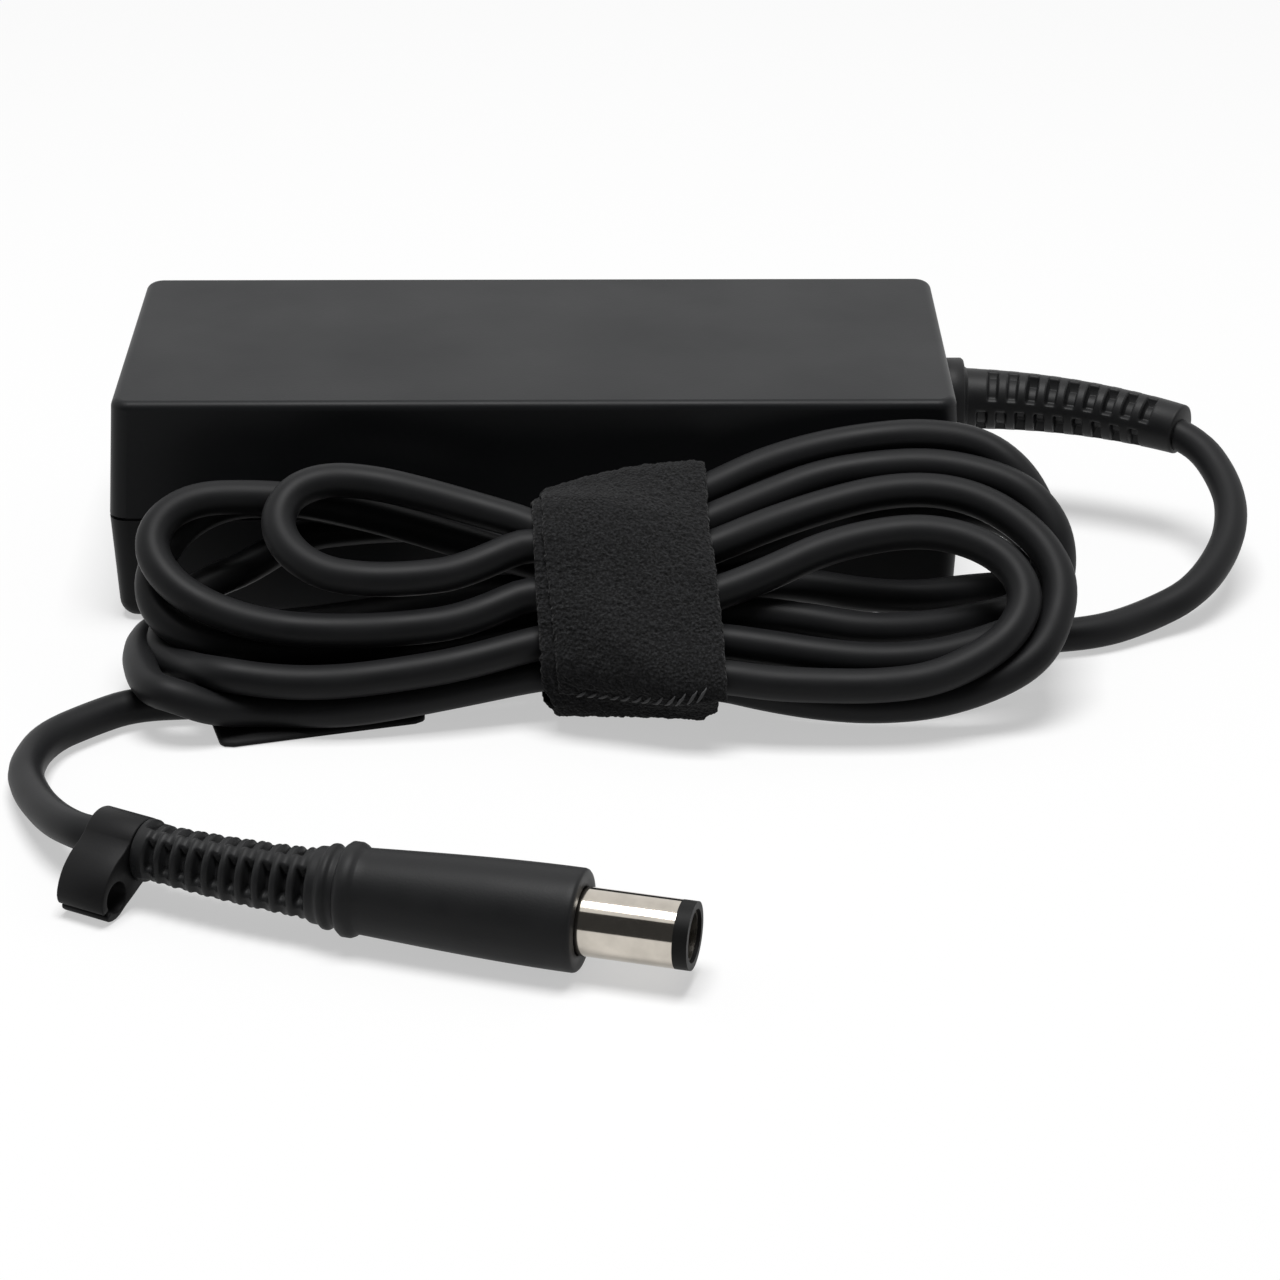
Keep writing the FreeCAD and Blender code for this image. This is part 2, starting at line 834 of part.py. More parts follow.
def next_ring(ring, centre, radius, next_centre, next_radius, normal):
    """Where the sides of a pyramid through one ring meet the next ring's plane."""
    apex = centre + (next_centre - centre) * (radius / (radius - next_radius))
    points = []
    for point in ring:
        side = apex - point
        points.append(point + side * ((next_centre - point).dot(normal) / side.dot(normal)))
    return points


def tapered_relief(bend, root_diameter, end_diameter):
    """Bent taper made of slices of pyramids, so that every side is flat."""
    steps = math.ceil(math.degrees(bend.length / bend.radius) / relief_step_angle)
    radii = [(root_diameter + (end_diameter - root_diameter) * k / steps) / 2 for k in range(steps + 1)]
    turns = [2 * math.pi * (k + 0.5) / relief_sides for k in range(relief_sides)]
    rings = [[bend.point(0, radii[0], angle) for angle in turns]]
    for k in range(steps):
        near = bend.length * k / steps
        far = bend.length * (k + 1) / steps
        rings.append(next_ring(rings[-1], bend.place(near), radii[k], bend.place(far), radii[k + 1],
                               bend.direction(far)))
    return skinned(rings)


def window(bend, distance, width, angle, reach):
    """Wedge that cuts one window, from the core outwards."""
    half = math.radians(slot_angle / 2)
    core = relief_core / 2
    middle = distance + width / 2
    loop = [bend.point(middle, core, angle - half), bend.point(middle, reach, angle - half),
            bend.point(middle, reach, angle + half), bend.point(middle, core, angle + half)]
    along = bend.direction(middle)
    start = [point - along * (width / 2) for point in loop]
    return faces_of([start])[0].extrude(along * width)


def windows(bend, first, pitch, count, width, roll, reach):
    """Four rows of windows round a relief, every other row half a pitch along."""
    cuts = []
    for row in range(4):
        start = first + (row % 2) * pitch / 2
        angle = math.radians(roll + 90 * row)
        cuts += [window(bend, start + k * pitch, width, angle, reach) for k in range(count)]
    return cuts


def case_relief_bend():
    droop = math.radians(relief_droop)
    side = Vector(0, -math.cos(droop), -math.sin(droop))
    start = Vector(case_end + relief_flange_thickness, exit_y, exit_z)
    return Bend(start, Vector(1, 0, 0), side, relief_length, relief_bend)


def inner_flange_x():
    wall_face = case_end - wall - wall_inset(exit_z + relief_flange_diameter / 2)
    return wall_face - relief_inner_flange - fit_clearance


def case_strain_relief():
    bend = case_relief_bend()
    body = tapered_relief(bend, relief_root_diameter, relief_end_diameter)
    body = body.cut(windows(bend, relief_first_slot, relief_slot_pitch, relief_slot_count,
                            relief_slot_width, relief_slot_roll, relief_root_diameter))
    along = Vector(1, 0, 0)
    flange = cylinder(relief_flange_diameter, relief_flange_thickness,
                      Vector(case_end, exit_y, exit_z), along)
    inner_x = inner_flange_x()
    neck = square_bar(relief_neck_width, inner_x, case_end)
    inner = square_bar(relief_flange_diameter, inner_x, inner_x + relief_inner_flange)
    return body.fuse([flange, neck, inner]).removeSplitter()


def mitred_wire(path, diameter):
    """Six sided wire along a path in an XZ plane, mitred where it bends."""
    rings = []
    for k, place in enumerate(path):
        into = (place - path[k - 1]).normalize() if k else (path[1] - place).normalize()
        out = (path[k + 1] - place).normalize() if k < len(path) - 1 else into
        mitre = (into + out).normalize()
        stretch = 1 / mitre.dot(into)
        across = Vector(0, 1, 0).cross(mitre) * stretch
        ring = []
        for side in range(cord_sides):
            angle = 2 * math.pi * side / cord_sides
            ring.append(place + Vector(0, 1, 0) * (math.cos(angle) * diameter / 2)
                        + across * (math.sin(angle) * diameter / 2))
        rings.append(ring)
    return skinned(rings)


def output_wires():
    """Two insulated leads from the cord's end down to the board."""
    start_x = inner_flange_x()
    low_x = start_x - output_wire_reach
    wires = []
    for k in (-0.5, 0.5):
        y = exit_y + k * output_wire_pitch
        path = [Vector(start_x, y, exit_z), Vector(low_x + output_wire_diameter, y, exit_z),
                Vector(low_x, y, exit_z - output_wire_diameter), Vector(low_x, y, board_top)]
        wires.append(mitred_wire(path, output_wire_diameter))
    return Part.Compound(wires)


# Cord tubes
def cord_profile(place, along):
    """Many sided section of the cord, square to its path."""
    lift = Vector(0, 0, 1)
    side = along.cross(lift)
    side.normalize()
    up = side.cross(along)
    points = []
    for k in range(cord_sides + 1):
        angle = 2 * math.pi * (k + 0.5) / cord_sides
        points.append(place + (side * math.cos(angle) + up * math.sin(angle)) * (cord_diameter / 2))
    return Part.makePolygon(points)


def arc_through(start, corner, end):
    """Circular arc that leaves start towards corner and ends at end."""
    middle = (start + end) * 0.5
    half = (end - start).Length / 2
    height = (corner - middle).Length
    if height < tiny:
        return Part.makeLine(start, end)
    opening = math.atan2(height, half)
    sagitta = half / math.sin(opening) * (1 - math.cos(opening))
    crown = middle + (corner - middle) * (sagitta / height)
    return Part.Arc(start, crown, end).toShape()


def biarc(start, start_way, end, end_way):
    """Two arcs that join two points with given directions."""
    gap = end - start
    ways = start_way + end_way
    square = 2 * start_way.dot(end_way) - 2
    if abs(square) < 1e-9:
        reach = gap.dot(gap) / (4 * gap.dot(start_way))
    else:
        linear = -2 * gap.dot(ways)
        constant = gap.dot(gap)
        reach = (-linear - math.sqrt(linear * linear - 4 * square * constant)) / (2 * square)
    first = start + start_way * reach
    second = end - end_way * reach
    joint = (first + second) * 0.5
    return [arc_through(start, first, joint), arc_through(joint, second, end)]


def tube(edges, start, along):
    spine = Part.Wire(edges)
    return Part.Solid(spine.makePipeShell([cord_profile(start, along)], True, False)), spine


def hank_point(u, v, w):
    """Point of the leaning hank: u along it, v up its slope, w out of its face."""
    lean = math.radians(hank_lean)
    return hank_centre + Vector(u, v * math.cos(lean) - w * math.sin(lean),
                                v * math.sin(lean) + w * math.cos(lean))


def hank_levels():
    """Distance of each pass from the hank's middle line, in to the middle and out again."""
    turn = (hank_passes + 1) // 2
    inward = [hank_half_height - k * hank_step / 2 for k in range(turn)]
    return inward + inward[::-1][1:]


def full_reach(k):
    return hank_left_reach if k % 2 == 0 else hank_right_reach


def turn_reach(k):
    """How far from the hank's middle the turn after pass k starts; one turn is shorter than its neighbours."""
    return hank_short_reach if k == hank_short_turn else full_reach(k)


def fanned(level, k):
    """Level of a pass where it meets the turn after pass k, on its way from the strap to full reach."""
    share = (turn_reach(k) - hank_flat) / (full_reach(k) - hank_flat)
    return level - hank_draw_in * (1 - share)


def drawn_in(start, end, way):
    """Two small bends and a straight between them, from one line along way to another."""
    first = start + way * hank_bend
    second = end - way * hank_bend
    slope = (second - first).normalize()
    leave = first + slope * hank_bend
    meet = second - slope * hank_bend
    return [arc_through(start, first, leave), Part.makeLine(leave, meet), arc_through(meet, second, end)]


def hank_edges():
    levels = hank_levels()
    middle_pass = hank_passes // 2
    edges = []
    for k, level in enumerate(levels):
        low = k % 2 == 0
        sign = -1 if low else 1
        way = Vector(sign, 0, 0)
        enter = -sign * turn_reach(k - 1)
        leave = sign * turn_reach(k)
        near = -hank_flat * sign
        w_in = -hank_layer_step / 2 if k <= middle_pass else hank_layer_step / 2
        w_out = hank_layer_step / 2 if k >= middle_pass else -hank_layer_step / 2
        drawn = sign * (level - hank_draw_in)
        flat_start = hank_point(near, drawn, (w_in + w_out) / 2)
        flat_end = hank_point(-near, drawn, (w_in + w_out) / 2)
        if k:
            edges += drawn_in(hank_point(enter, sign * fanned(level, k - 1), w_in), flat_start, way)
        else:
            flat_start = hank_start()
        edges.append(Part.makeLine(flat_start, flat_end))
        end = hank_point(leave, sign * fanned(level, k), w_out)
        edges += drawn_in(flat_end, end, way)
        if k < hank_passes - 1:
            turn_end = hank_point(leave, -sign * fanned(levels[k + 1], k), w_out)
            edges += biarc(end, way, turn_end, way * -1)
        else:
            edges.append(Part.makeLine(end, end + way * cord_diameter))
    return edges


def hank_start():
    return hank_point(hank_flat - hank_start_inset, -(hank_half_height - hank_draw_in), -hank_layer_step / 2)


def hank_end():
    return hank_point(-hank_left_reach, -hank_half_height, hank_layer_step / 2) + Vector(-cord_diameter, 0, 0)


def least_gap(spine):
    """Least distance between stretches of the cord that aren't neighbours, less its diameter."""
    points = spine.discretize(Distance=1.0)
    reach = 4 * cord_diameter
    along = [0.0]
    for k in range(1, len(points)):
        along.append(along[-1] + (points[k] - points[k - 1]).Length)
    least = reach
    for i in range(len(points)):
        for j in range(i + 1, len(points)):
            if along[j] - along[i] > reach:
                least = min(least, (points[i] - points[j]).Length)
    return least - cord_diameter


def route_edges(points):
    """Straight runs joined by tangent arcs, each as large as its two runs allow."""
    edges = []
    radii = []
    last = points[0]
    for before, corner, after in zip(points, points[1:], points[2:]):
        into = corner - before
        out = after - corner
        shorter = min(into.Length, out.Length)
        turn = into.getAngle(out)
        reach = arc_share * shorter
        radii.append(reach / math.tan(turn / 2))
        into.normalize()
        out.normalize()
        start = corner - into * reach
        end = corner + out * reach
        edges.append(Part.makeLine(last, start))
        edges.append(arc_through(start, corner, end))
        last = end
    edges.append(Part.makeLine(last, points[-1]))
    return edges, radii


def lead_route():
    bend = case_relief_bend()
    start = bend.place(bend.length)
    end = hank_start()
    return ([start, start + bend.direction(bend.length) * lead_first_run] + lead_points
            + [end + Vector(lead_last_run, 0, 0), end])


def tail_route():
    bend = plug_relief_line()
    start = hank_end()
    end = bend.place(bend.length)
    return ([start, start - Vector(tail_first_run, 0, 0)] + tail_points
            + [end + bend.direction(bend.length) * tail_last_run, end])


def free_tube(name, points):
    edges, radii = route_edges(points)
    along = points[1] - points[0]
    along.normalize()
    solid, spine = tube(edges, points[0], along)
    area = cord_sides / 2 * math.sin(2 * math.pi / cord_sides) * (cord_diameter / 2) ** 2
    print(name, "length", round(spine.Length, 1), "radii", [round(r, 1) for r in radii],
          "volume / (section x length)", round(solid.Volume / (area * spine.Length), 4))
    return solid


def dc_cord_lead():
    return free_tube("dc_cord_lead", lead_route())


def dc_cord_tail():
    return free_tube("dc_cord_tail", tail_route())


def dc_cord_hank():
    solid, spine = tube(hank_edges(), hank_start(), Vector(-1, 0, 0))
    print("dc_cord_hank length", round(spine.Length, 1), "least gap to itself", round(least_gap(spine), 2))
    return solid


# Strap
def strap_block(offset):
    """Round cornered block through the strap, that many millimetres outside the cords' clearance."""
    radius = cord_diameter / 2 + strap_gap + offset
    levels = hank_levels()
    low = -(levels[0] - hank_draw_in)
    high = levels[1] - hank_draw_in
    block = rounded_plate(hank_layer_step + 2 * radius, high - low + 2 * radius, radius,
                          -strap_width / 2, strap_width / 2)
    block.translate(Vector(0, (low + high) / 2, 0))
    return block


def cord_strap():
    band = strap_block(strap_thickness).cut(strap_block(0))
    band.rotate(Vector(0, 0, 0), Vector(0, 1, 0), 90)
    band.rotate(Vector(0, 0, 0), Vector(1, 0, 0), hank_lean)
    band.translate(hank_centre)
    return band


def strap_tail():
    strip = Part.makeBox(strap_tail_width, strap_tail_length, strap_tail_thickness)
    strip = strip.makeChamfer(strap_tail_thickness, upright(strip))
    strip.rotate(Vector(0, 0, 0), Vector(0, 0, 1), strap_tail_turn)
    strip.translate(strap_tail_corner)
    return strip


# Plug
def plug_relief_line():
    """Axis of the plug's bend relief, from its ring back to the cord."""
    yaw = math.radians(plug_yaw)
    way = Vector(math.cos(yaw), math.sin(yaw), 0)
    start = plug_ring_place - way * (plug_ring_width / 2)
    return Bend(start, way * -1, Vector(0, 0, 1).cross(way), plug_relief_length, plug_relief_bend)


def on_plug(shape):
    """Lay a shape made along +Z on the plug's axis, with its zero at the ring."""
    shape.rotate(Vector(0, 0, 0), Vector(0, 1, 0), 90)
    shape.rotate(Vector(0, 0, 0), Vector(0, 0, 1), plug_yaw)
    shape.translate(plug_ring_place)
    return shape


def plug_handle():
    half = plug_ring_width / 2
    ring = plug_ring_diameter / 2
    rear = handle_rear_diameter / 2
    front = handle_front_diameter / 2
    profile = [(-half, ring - plug_ring_edge), (-half + plug_ring_edge, ring),
               (half - plug_ring_edge, ring), (half, rear)]
    profile += [(handle_length * along, rear + (front - rear) * swell) for along, swell in handle_swell]
    profile += [(handle_length - handle_edge, front), (handle_length, front - handle_edge)]
    rings = []
    for along, radius in profile:
        turns = [2 * math.pi * k / handle_sides for k in range(handle_sides)]
        rings.append([Vector(radius * math.cos(a), radius * math.sin(a), along) for a in turns])
    body = on_plug(skinned(rings))
    socket = on_plug(cylinder(barrel_root_diameter + fit_clearance, barrel_root + 1,
                              Vector(0, 0, handle_length - barrel_root)))
    bend = plug_relief_line()
    relief = tapered_relief(bend, plug_relief_front_diameter, plug_relief_rear_diameter)
    relief = relief.cut(windows(bend, plug_first_slot, plug_slot_pitch, plug_slot_count, plug_slot_width,
                                plug_slot_roll, plug_relief_front_diameter))
    return body.cut(socket).fuse(relief).removeSplitter()


def plug_tube(diameter, thickness, start, end):
    outer = cylinder(diameter, end - start, Vector(0, 0, start))
    inner = cylinder(diameter - 2 * thickness, end - start + 2, Vector(0, 0, start - 1))
    return outer.cut(inner)


def plug_root():
    return handle_length - barrel_root


def plug_barrel():
    """Metal sleeve, stepped down where it enters the handle."""
    step = handle_length + barrel_step
    sleeve = plug_tube(barrel_diameter, barrel_wall, step, handle_length + barrel_length)
    thinner = (barrel_diameter - barrel_root_diameter) / 2
    root = plug_tube(barrel_root_diameter, barrel_wall - thinner, plug_root(), step)
    return on_plug(sleeve.fuse(root).removeSplitter())


def plug_tip_insulator():
    """Black sleeve between barrel and inner contact, with the ring at the tip."""
    contact = bore_diameter + 2 * contact_wall + fit_clearance
    sleeve = barrel_diameter - 2 * barrel_wall - fit_clearance
    shoulder = handle_length + barrel_length
    body = plug_tube(sleeve, (sleeve - contact) / 2, plug_root(), shoulder)
    tip = plug_tube(barrel_diameter, (barrel_diameter - contact) / 2, shoulder, shoulder + tip_length)
    return on_plug(body.fuse(tip).removeSplitter())


def plug_inner_contact():
    end = handle_length + barrel_length + tip_length - contact_setback
    return on_plug(plug_tube(bore_diameter + 2 * contact_wall, contact_wall, plug_root(), end))


def plug_centre_pin():
    end = handle_length + barrel_length + tip_length - centre_pin_setback
    return on_plug(cylinder(centre_pin_diameter, end - plug_root(), Vector(0, 0, plug_root())))


def cord_clip():
    """Open hook that a band round the plug's collar carries."""
    bend = plug_relief_line()
    distance = bend.length - clip_place
    share = distance / bend.length
    collar = plug_relief_front_diameter + (plug_relief_rear_diameter - plug_relief_front_diameter) * share
    along = bend.direction(distance)
    out = Vector(0, 0, 1).cross(along)
    start = bend.place(distance) - along * (clip_width / 2)
    hook = start + out * clip_forward - Vector(0, 0, clip_drop)
    band_bore = collar + 2 * clip_clearance
    band = can(band_bore + 2 * clip_band, clip_width, start, along, clip_sides)
    ring = can(clip_bore_diameter + 2 * clip_band, clip_width, hook, along, clip_sides)
    link_way = (hook - start).normalize()
    link_up = along.cross(link_way) * clip_band
    link = faces_of([[start + link_up, hook + link_up, hook - link_up, start - link_up]])[0]
    arm = link.extrude(along * clip_width)
    tilt = math.radians(clip_mouth_tilt)
    mouth_way = out * math.sin(tilt) - Vector(0, 0, math.cos(tilt))
    mouth_side = along.cross(mouth_way) * (clip_mouth / 2)
    far = mouth_way * (clip_bore_diameter + 2 * clip_band)
    back = along * -1
    mouth = faces_of([[hook + mouth_side + back, hook + mouth_side + far + back,
                       hook - mouth_side + far + back, hook - mouth_side + back]])[0]
    cuts = [can(band_bore, clip_width + 2, start + back, along, clip_sides),
            cylinder(clip_bore_diameter, clip_width + 2, hook + back, along),
            mouth.extrude(along * (clip_width + 2))]
    return band.fuse([ring, arm]).cut(cuts).removeSplitter()


parts = {
    "top_cover": top_cover,
    "bottom_cover": bottom_cover,
    "inlet_housing": inlet_housing,
    "inlet_contacts": inlet_contacts,
    "circuit_board": circuit_board,
    "auxiliary_capacitor": auxiliary_capacitor,
    "fuse": fuse,
    "varistor": varistor,
    "x_capacitor": x_capacitor,
    "bridge_rectifier": bridge_rectifier,
    "thermistor": thermistor,
    "choke_base": choke_base,
    "choke_core": choke_core,
    "choke_windings": choke_windings,
    "bulk_capacitor": bulk_capacitor,
    "primary_heatsink": primary_heatsink,
    "primary_transistor": primary_transistor,
    "secondary_heatsink": secondary_heatsink,
    "output_rectifier": output_rectifier,
    "heatsink_clips": heatsink_clips,
    "transformer_core": transformer_core,
    "transformer_bobbin": transformer_bobbin,
    "transformer_winding": transformer_winding,
    "output_capacitors": output_capacitors,
    "output_choke": output_choke,
    "y_capacitor": y_capacitor,
    "optocoupler": optocoupler,
    "control_chip": control_chip,
    "thermal_pads": thermal_pads,
    "top_heat_spreader": top_heat_spreader,
    "bottom_heat_spreader": bottom_heat_spreader,
    "insulation_film": insulation_film,
    "output_wires": output_wires,
    "case_strain_relief": case_strain_relief,
    "dc_cord_lead": dc_cord_lead,
    "dc_cord_hank": dc_cord_hank,
    "dc_cord_tail": dc_cord_tail,
    "cord_strap": cord_strap,
    "strap_tail": strap_tail,
    "plug_handle": plug_handle,
    "cord_clip": cord_clip,
    "plug_barrel": plug_barrel,
    "plug_tip_insulator": plug_tip_insulator,
    "plug_inner_contact": plug_inner_contact,
    "plug_centre_pin": plug_centre_pin,
}

os.makedirs("parts", exist_ok=True)
for name, make in parts.items():
    shape = make()
    shape.exportStep(os.path.join("parts", name + ".step"))
    print(name, len(shape.Solids), "valid", shape.isValid(), "volume", round(shape.Volume, 1))
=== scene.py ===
import bpy
import bmesh
import math
import random
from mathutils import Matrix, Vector, noise


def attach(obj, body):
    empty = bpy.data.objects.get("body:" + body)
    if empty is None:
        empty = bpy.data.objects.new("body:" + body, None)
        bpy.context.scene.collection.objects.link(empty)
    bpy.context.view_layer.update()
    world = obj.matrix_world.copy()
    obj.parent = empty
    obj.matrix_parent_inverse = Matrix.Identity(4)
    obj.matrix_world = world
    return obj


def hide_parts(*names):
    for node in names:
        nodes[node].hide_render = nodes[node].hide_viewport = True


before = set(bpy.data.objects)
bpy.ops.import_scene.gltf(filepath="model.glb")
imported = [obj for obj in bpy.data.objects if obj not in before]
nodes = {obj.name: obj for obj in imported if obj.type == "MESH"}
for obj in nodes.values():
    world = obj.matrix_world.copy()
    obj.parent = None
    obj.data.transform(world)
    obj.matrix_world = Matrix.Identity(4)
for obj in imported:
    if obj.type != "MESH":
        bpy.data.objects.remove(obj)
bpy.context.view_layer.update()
scene = bpy.context.scene
mm = 0.001  # every size below is in millimetres, unless its note says otherwise
print("frame loaded,", len(nodes), "nodes")


def inMetres(point):
    return Vector(point) * mm


def addMesh(name, verts, faces, finish):
    mesh = bpy.data.meshes.new(name)
    mesh.from_pydata([inMetres(v) for v in verts], [], faces)
    mesh.validate()
    mesh.polygons.foreach_set("use_smooth", [True] * len(mesh.polygons))
    mesh.materials.append(finish)
    piece = bpy.data.objects.new(name, mesh)
    scene.collection.objects.link(piece)
    shape = bmesh.new()
    shape.from_mesh(mesh)
    bmesh.ops.recalc_face_normals(shape, faces=shape.faces)
    shape.to_mesh(mesh)
    shape.free()
    return piece


# finishes
# grain and patch: sizes of the fine and the broad pattern; depth: height of the grain;
# streak: how much the pattern is squeezed along each axis; shine: strength of the surface's own reflection
patchRange = (0.3, 0.7)  # where the broad pattern turns from one tone into the other


def newFinish(name, colour, rough, sheen=0.0, metal=0.0, shine=0.5):
    finish = bpy.data.materials.new(name)
    finish.use_nodes = True
    tree = finish.node_tree
    shader = tree.nodes["Principled BSDF"]
    shader.inputs["Base Color"].default_value = (*colour, 1)
    shader.inputs["Roughness"].default_value = rough
    shader.inputs["Metallic"].default_value = metal
    shader.inputs["Specular IOR Level"].default_value = shine
    shader.inputs["Sheen Weight"].default_value = sheen
    return finish, tree, shader


def placeNode(tree, streak=(1, 1, 1)):
    coords = tree.nodes.new("ShaderNodeTexCoord")
    scaling = tree.nodes.new("ShaderNodeMapping")
    scaling.inputs["Scale"].default_value = streak
    tree.links.new(coords.outputs["Object"], scaling.inputs["Vector"])
    return scaling.outputs["Vector"]


def noiseNode(tree, where, size, detail=3.0, rough=0.55):
    pattern = tree.nodes.new("ShaderNodeTexNoise")
    pattern.inputs["Scale"].default_value = 1 / (size * mm)
    pattern.inputs["Detail"].default_value = detail
    pattern.inputs["Roughness"].default_value = rough
    tree.links.new(where, pattern.inputs["Vector"])
    return pattern.outputs["Fac"]


def rampNode(tree, value, low, high, start=0.0, end=1.0):
    ramp = tree.nodes.new("ShaderNodeMapRange")
    ramp.inputs["From Min"].default_value = low
    ramp.inputs["From Max"].default_value = high
    ramp.inputs["To Min"].default_value = start
    ramp.inputs["To Max"].default_value = end
    tree.links.new(value, ramp.inputs["Value"])
    return ramp.outputs["Result"]


def blendColours(tree, share, first, second):
    mix = tree.nodes.new("ShaderNodeMix")
    mix.data_type = "RGBA"
    firstSocket, secondSocket, blended = mix.inputs[6], mix.inputs[7], mix.outputs[2]
    tree.links.new(share, mix.inputs["Factor"])
    for socket, colour in ((firstSocket, first), (secondSocket, second)):
        if isinstance(colour, bpy.types.NodeSocket):
            tree.links.new(colour, socket)
        else:
            socket.default_value = (*colour, 1)
    return blended


def bumpNode(tree, height, depth, strength=1.0, before=None):
    bump = tree.nodes.new("ShaderNodeBump")
    bump.inputs["Distance"].default_value = depth * mm
    bump.inputs["Strength"].default_value = strength
    tree.links.new(height, bump.inputs["Height"])
    if before is not None:
        tree.links.new(before, bump.inputs["Normal"])
    return bump.outputs["Normal"]


def mouldedFinish(name, colour, worn, rough, grain=0.22, depth=0.012, patch=14.0, shine=0.5):
    # two close tones in broad patches, one a little duller than the other, under a fine grain
    finish, tree, shader = newFinish(name, colour, rough, shine=shine)
    where = placeNode(tree)
    fine = noiseNode(tree, where, grain, 2.0)
    broad = noiseNode(tree, where, patch, 4.0)
    tone = blendColours(tree, rampNode(tree, broad, *patchRange), colour, worn)
    tree.links.new(tone, shader.inputs["Base Color"])
    gloss = rampNode(tree, broad, 0.25, 0.75, rough - 0.05, rough + 0.07)
    tree.links.new(gloss, shader.inputs["Roughness"])
    tree.links.new(bumpNode(tree, fine, depth), shader.inputs["Normal"])
    return finish


def metalFinish(name, colour, rough, grain=0.12, streak=(1, 1, 1), depth=0.002, patch=3.0, dull=0.82):
    # rolled or plated metal: fine lines in its gloss and broad, slightly duller patches
    finish, tree, shader = newFinish(name, colour, rough, metal=1.0)
    lines = noiseNode(tree, placeNode(tree, streak), grain, 3.0)
    broad = noiseNode(tree, placeNode(tree), patch, 3.0)
    duller = tuple(c * dull for c in colour)
    tone = blendColours(tree, rampNode(tree, broad, *patchRange), colour, duller)
    tree.links.new(tone, shader.inputs["Base Color"])
    tree.links.new(rampNode(tree, lines, *patchRange, rough * 0.8, rough * 1.3), shader.inputs["Roughness"])
    tree.links.new(bumpNode(tree, lines, depth), shader.inputs["Normal"])
    return finish


caseTop = mouldedFinish("caseTopGrain", (0.0097, 0.0103, 0.0113), (0.0115, 0.0121, 0.0131), 0.42,
                        grain=0.3, depth=0.01, patch=22, shine=0.14)
caseBottom = mouldedFinish("caseBottomGrain", (0.0125, 0.0129, 0.0135), (0.0145, 0.0149, 0.0155), 0.44,
                           grain=0.3, depth=0.01, patch=18, shine=0.1)
inletBlack = mouldedFinish("inletBlack", (0.018, 0.018, 0.019), (0.025, 0.025, 0.026), 0.4,
                           grain=0.5, depth=0.006)
cordRubber = mouldedFinish("cordJacket", (0.0105, 0.0107, 0.0114), (0.0135, 0.0137, 0.0145), 0.48,
                           grain=0.35, depth=0.006, patch=9, shine=0.14)
reliefRubber = mouldedFinish("reliefRubber", (0.012, 0.0122, 0.0128), (0.015, 0.0152, 0.0158), 0.46,
                             grain=0.3, depth=0.01, patch=5, shine=0.18)
plugShell = mouldedFinish("plugShell", (0.0125, 0.0128, 0.0135), (0.0155, 0.0158, 0.0165), 0.48,
                          grain=0.28, depth=0.01, patch=7, shine=0.18)
clipNylon = mouldedFinish("clipNylon", (0.008, 0.008, 0.0084), (0.0105, 0.0105, 0.011), 0.5,
                          grain=0.3, depth=0.012, patch=4, shine=0.13)
tipBlack = mouldedFinish("tipBlack", (0.008, 0.008, 0.008), (0.012, 0.012, 0.012), 0.5,
                         grain=0.4, depth=0.005, patch=3, shine=0.12)
nickel = metalFinish("nickelPlate", (0.6, 0.555, 0.49), 0.09, grain=0.05, depth=0.0006)
# the inner contact and centre pin sit deep in the barrel; their colour is darkened as painted shade in the
# bore
brassInPaintedShade = metalFinish("innerContactPaintedShade", (0.3, 0.28, 0.25), 0.3, grain=0.1)
print("surface finishes made")

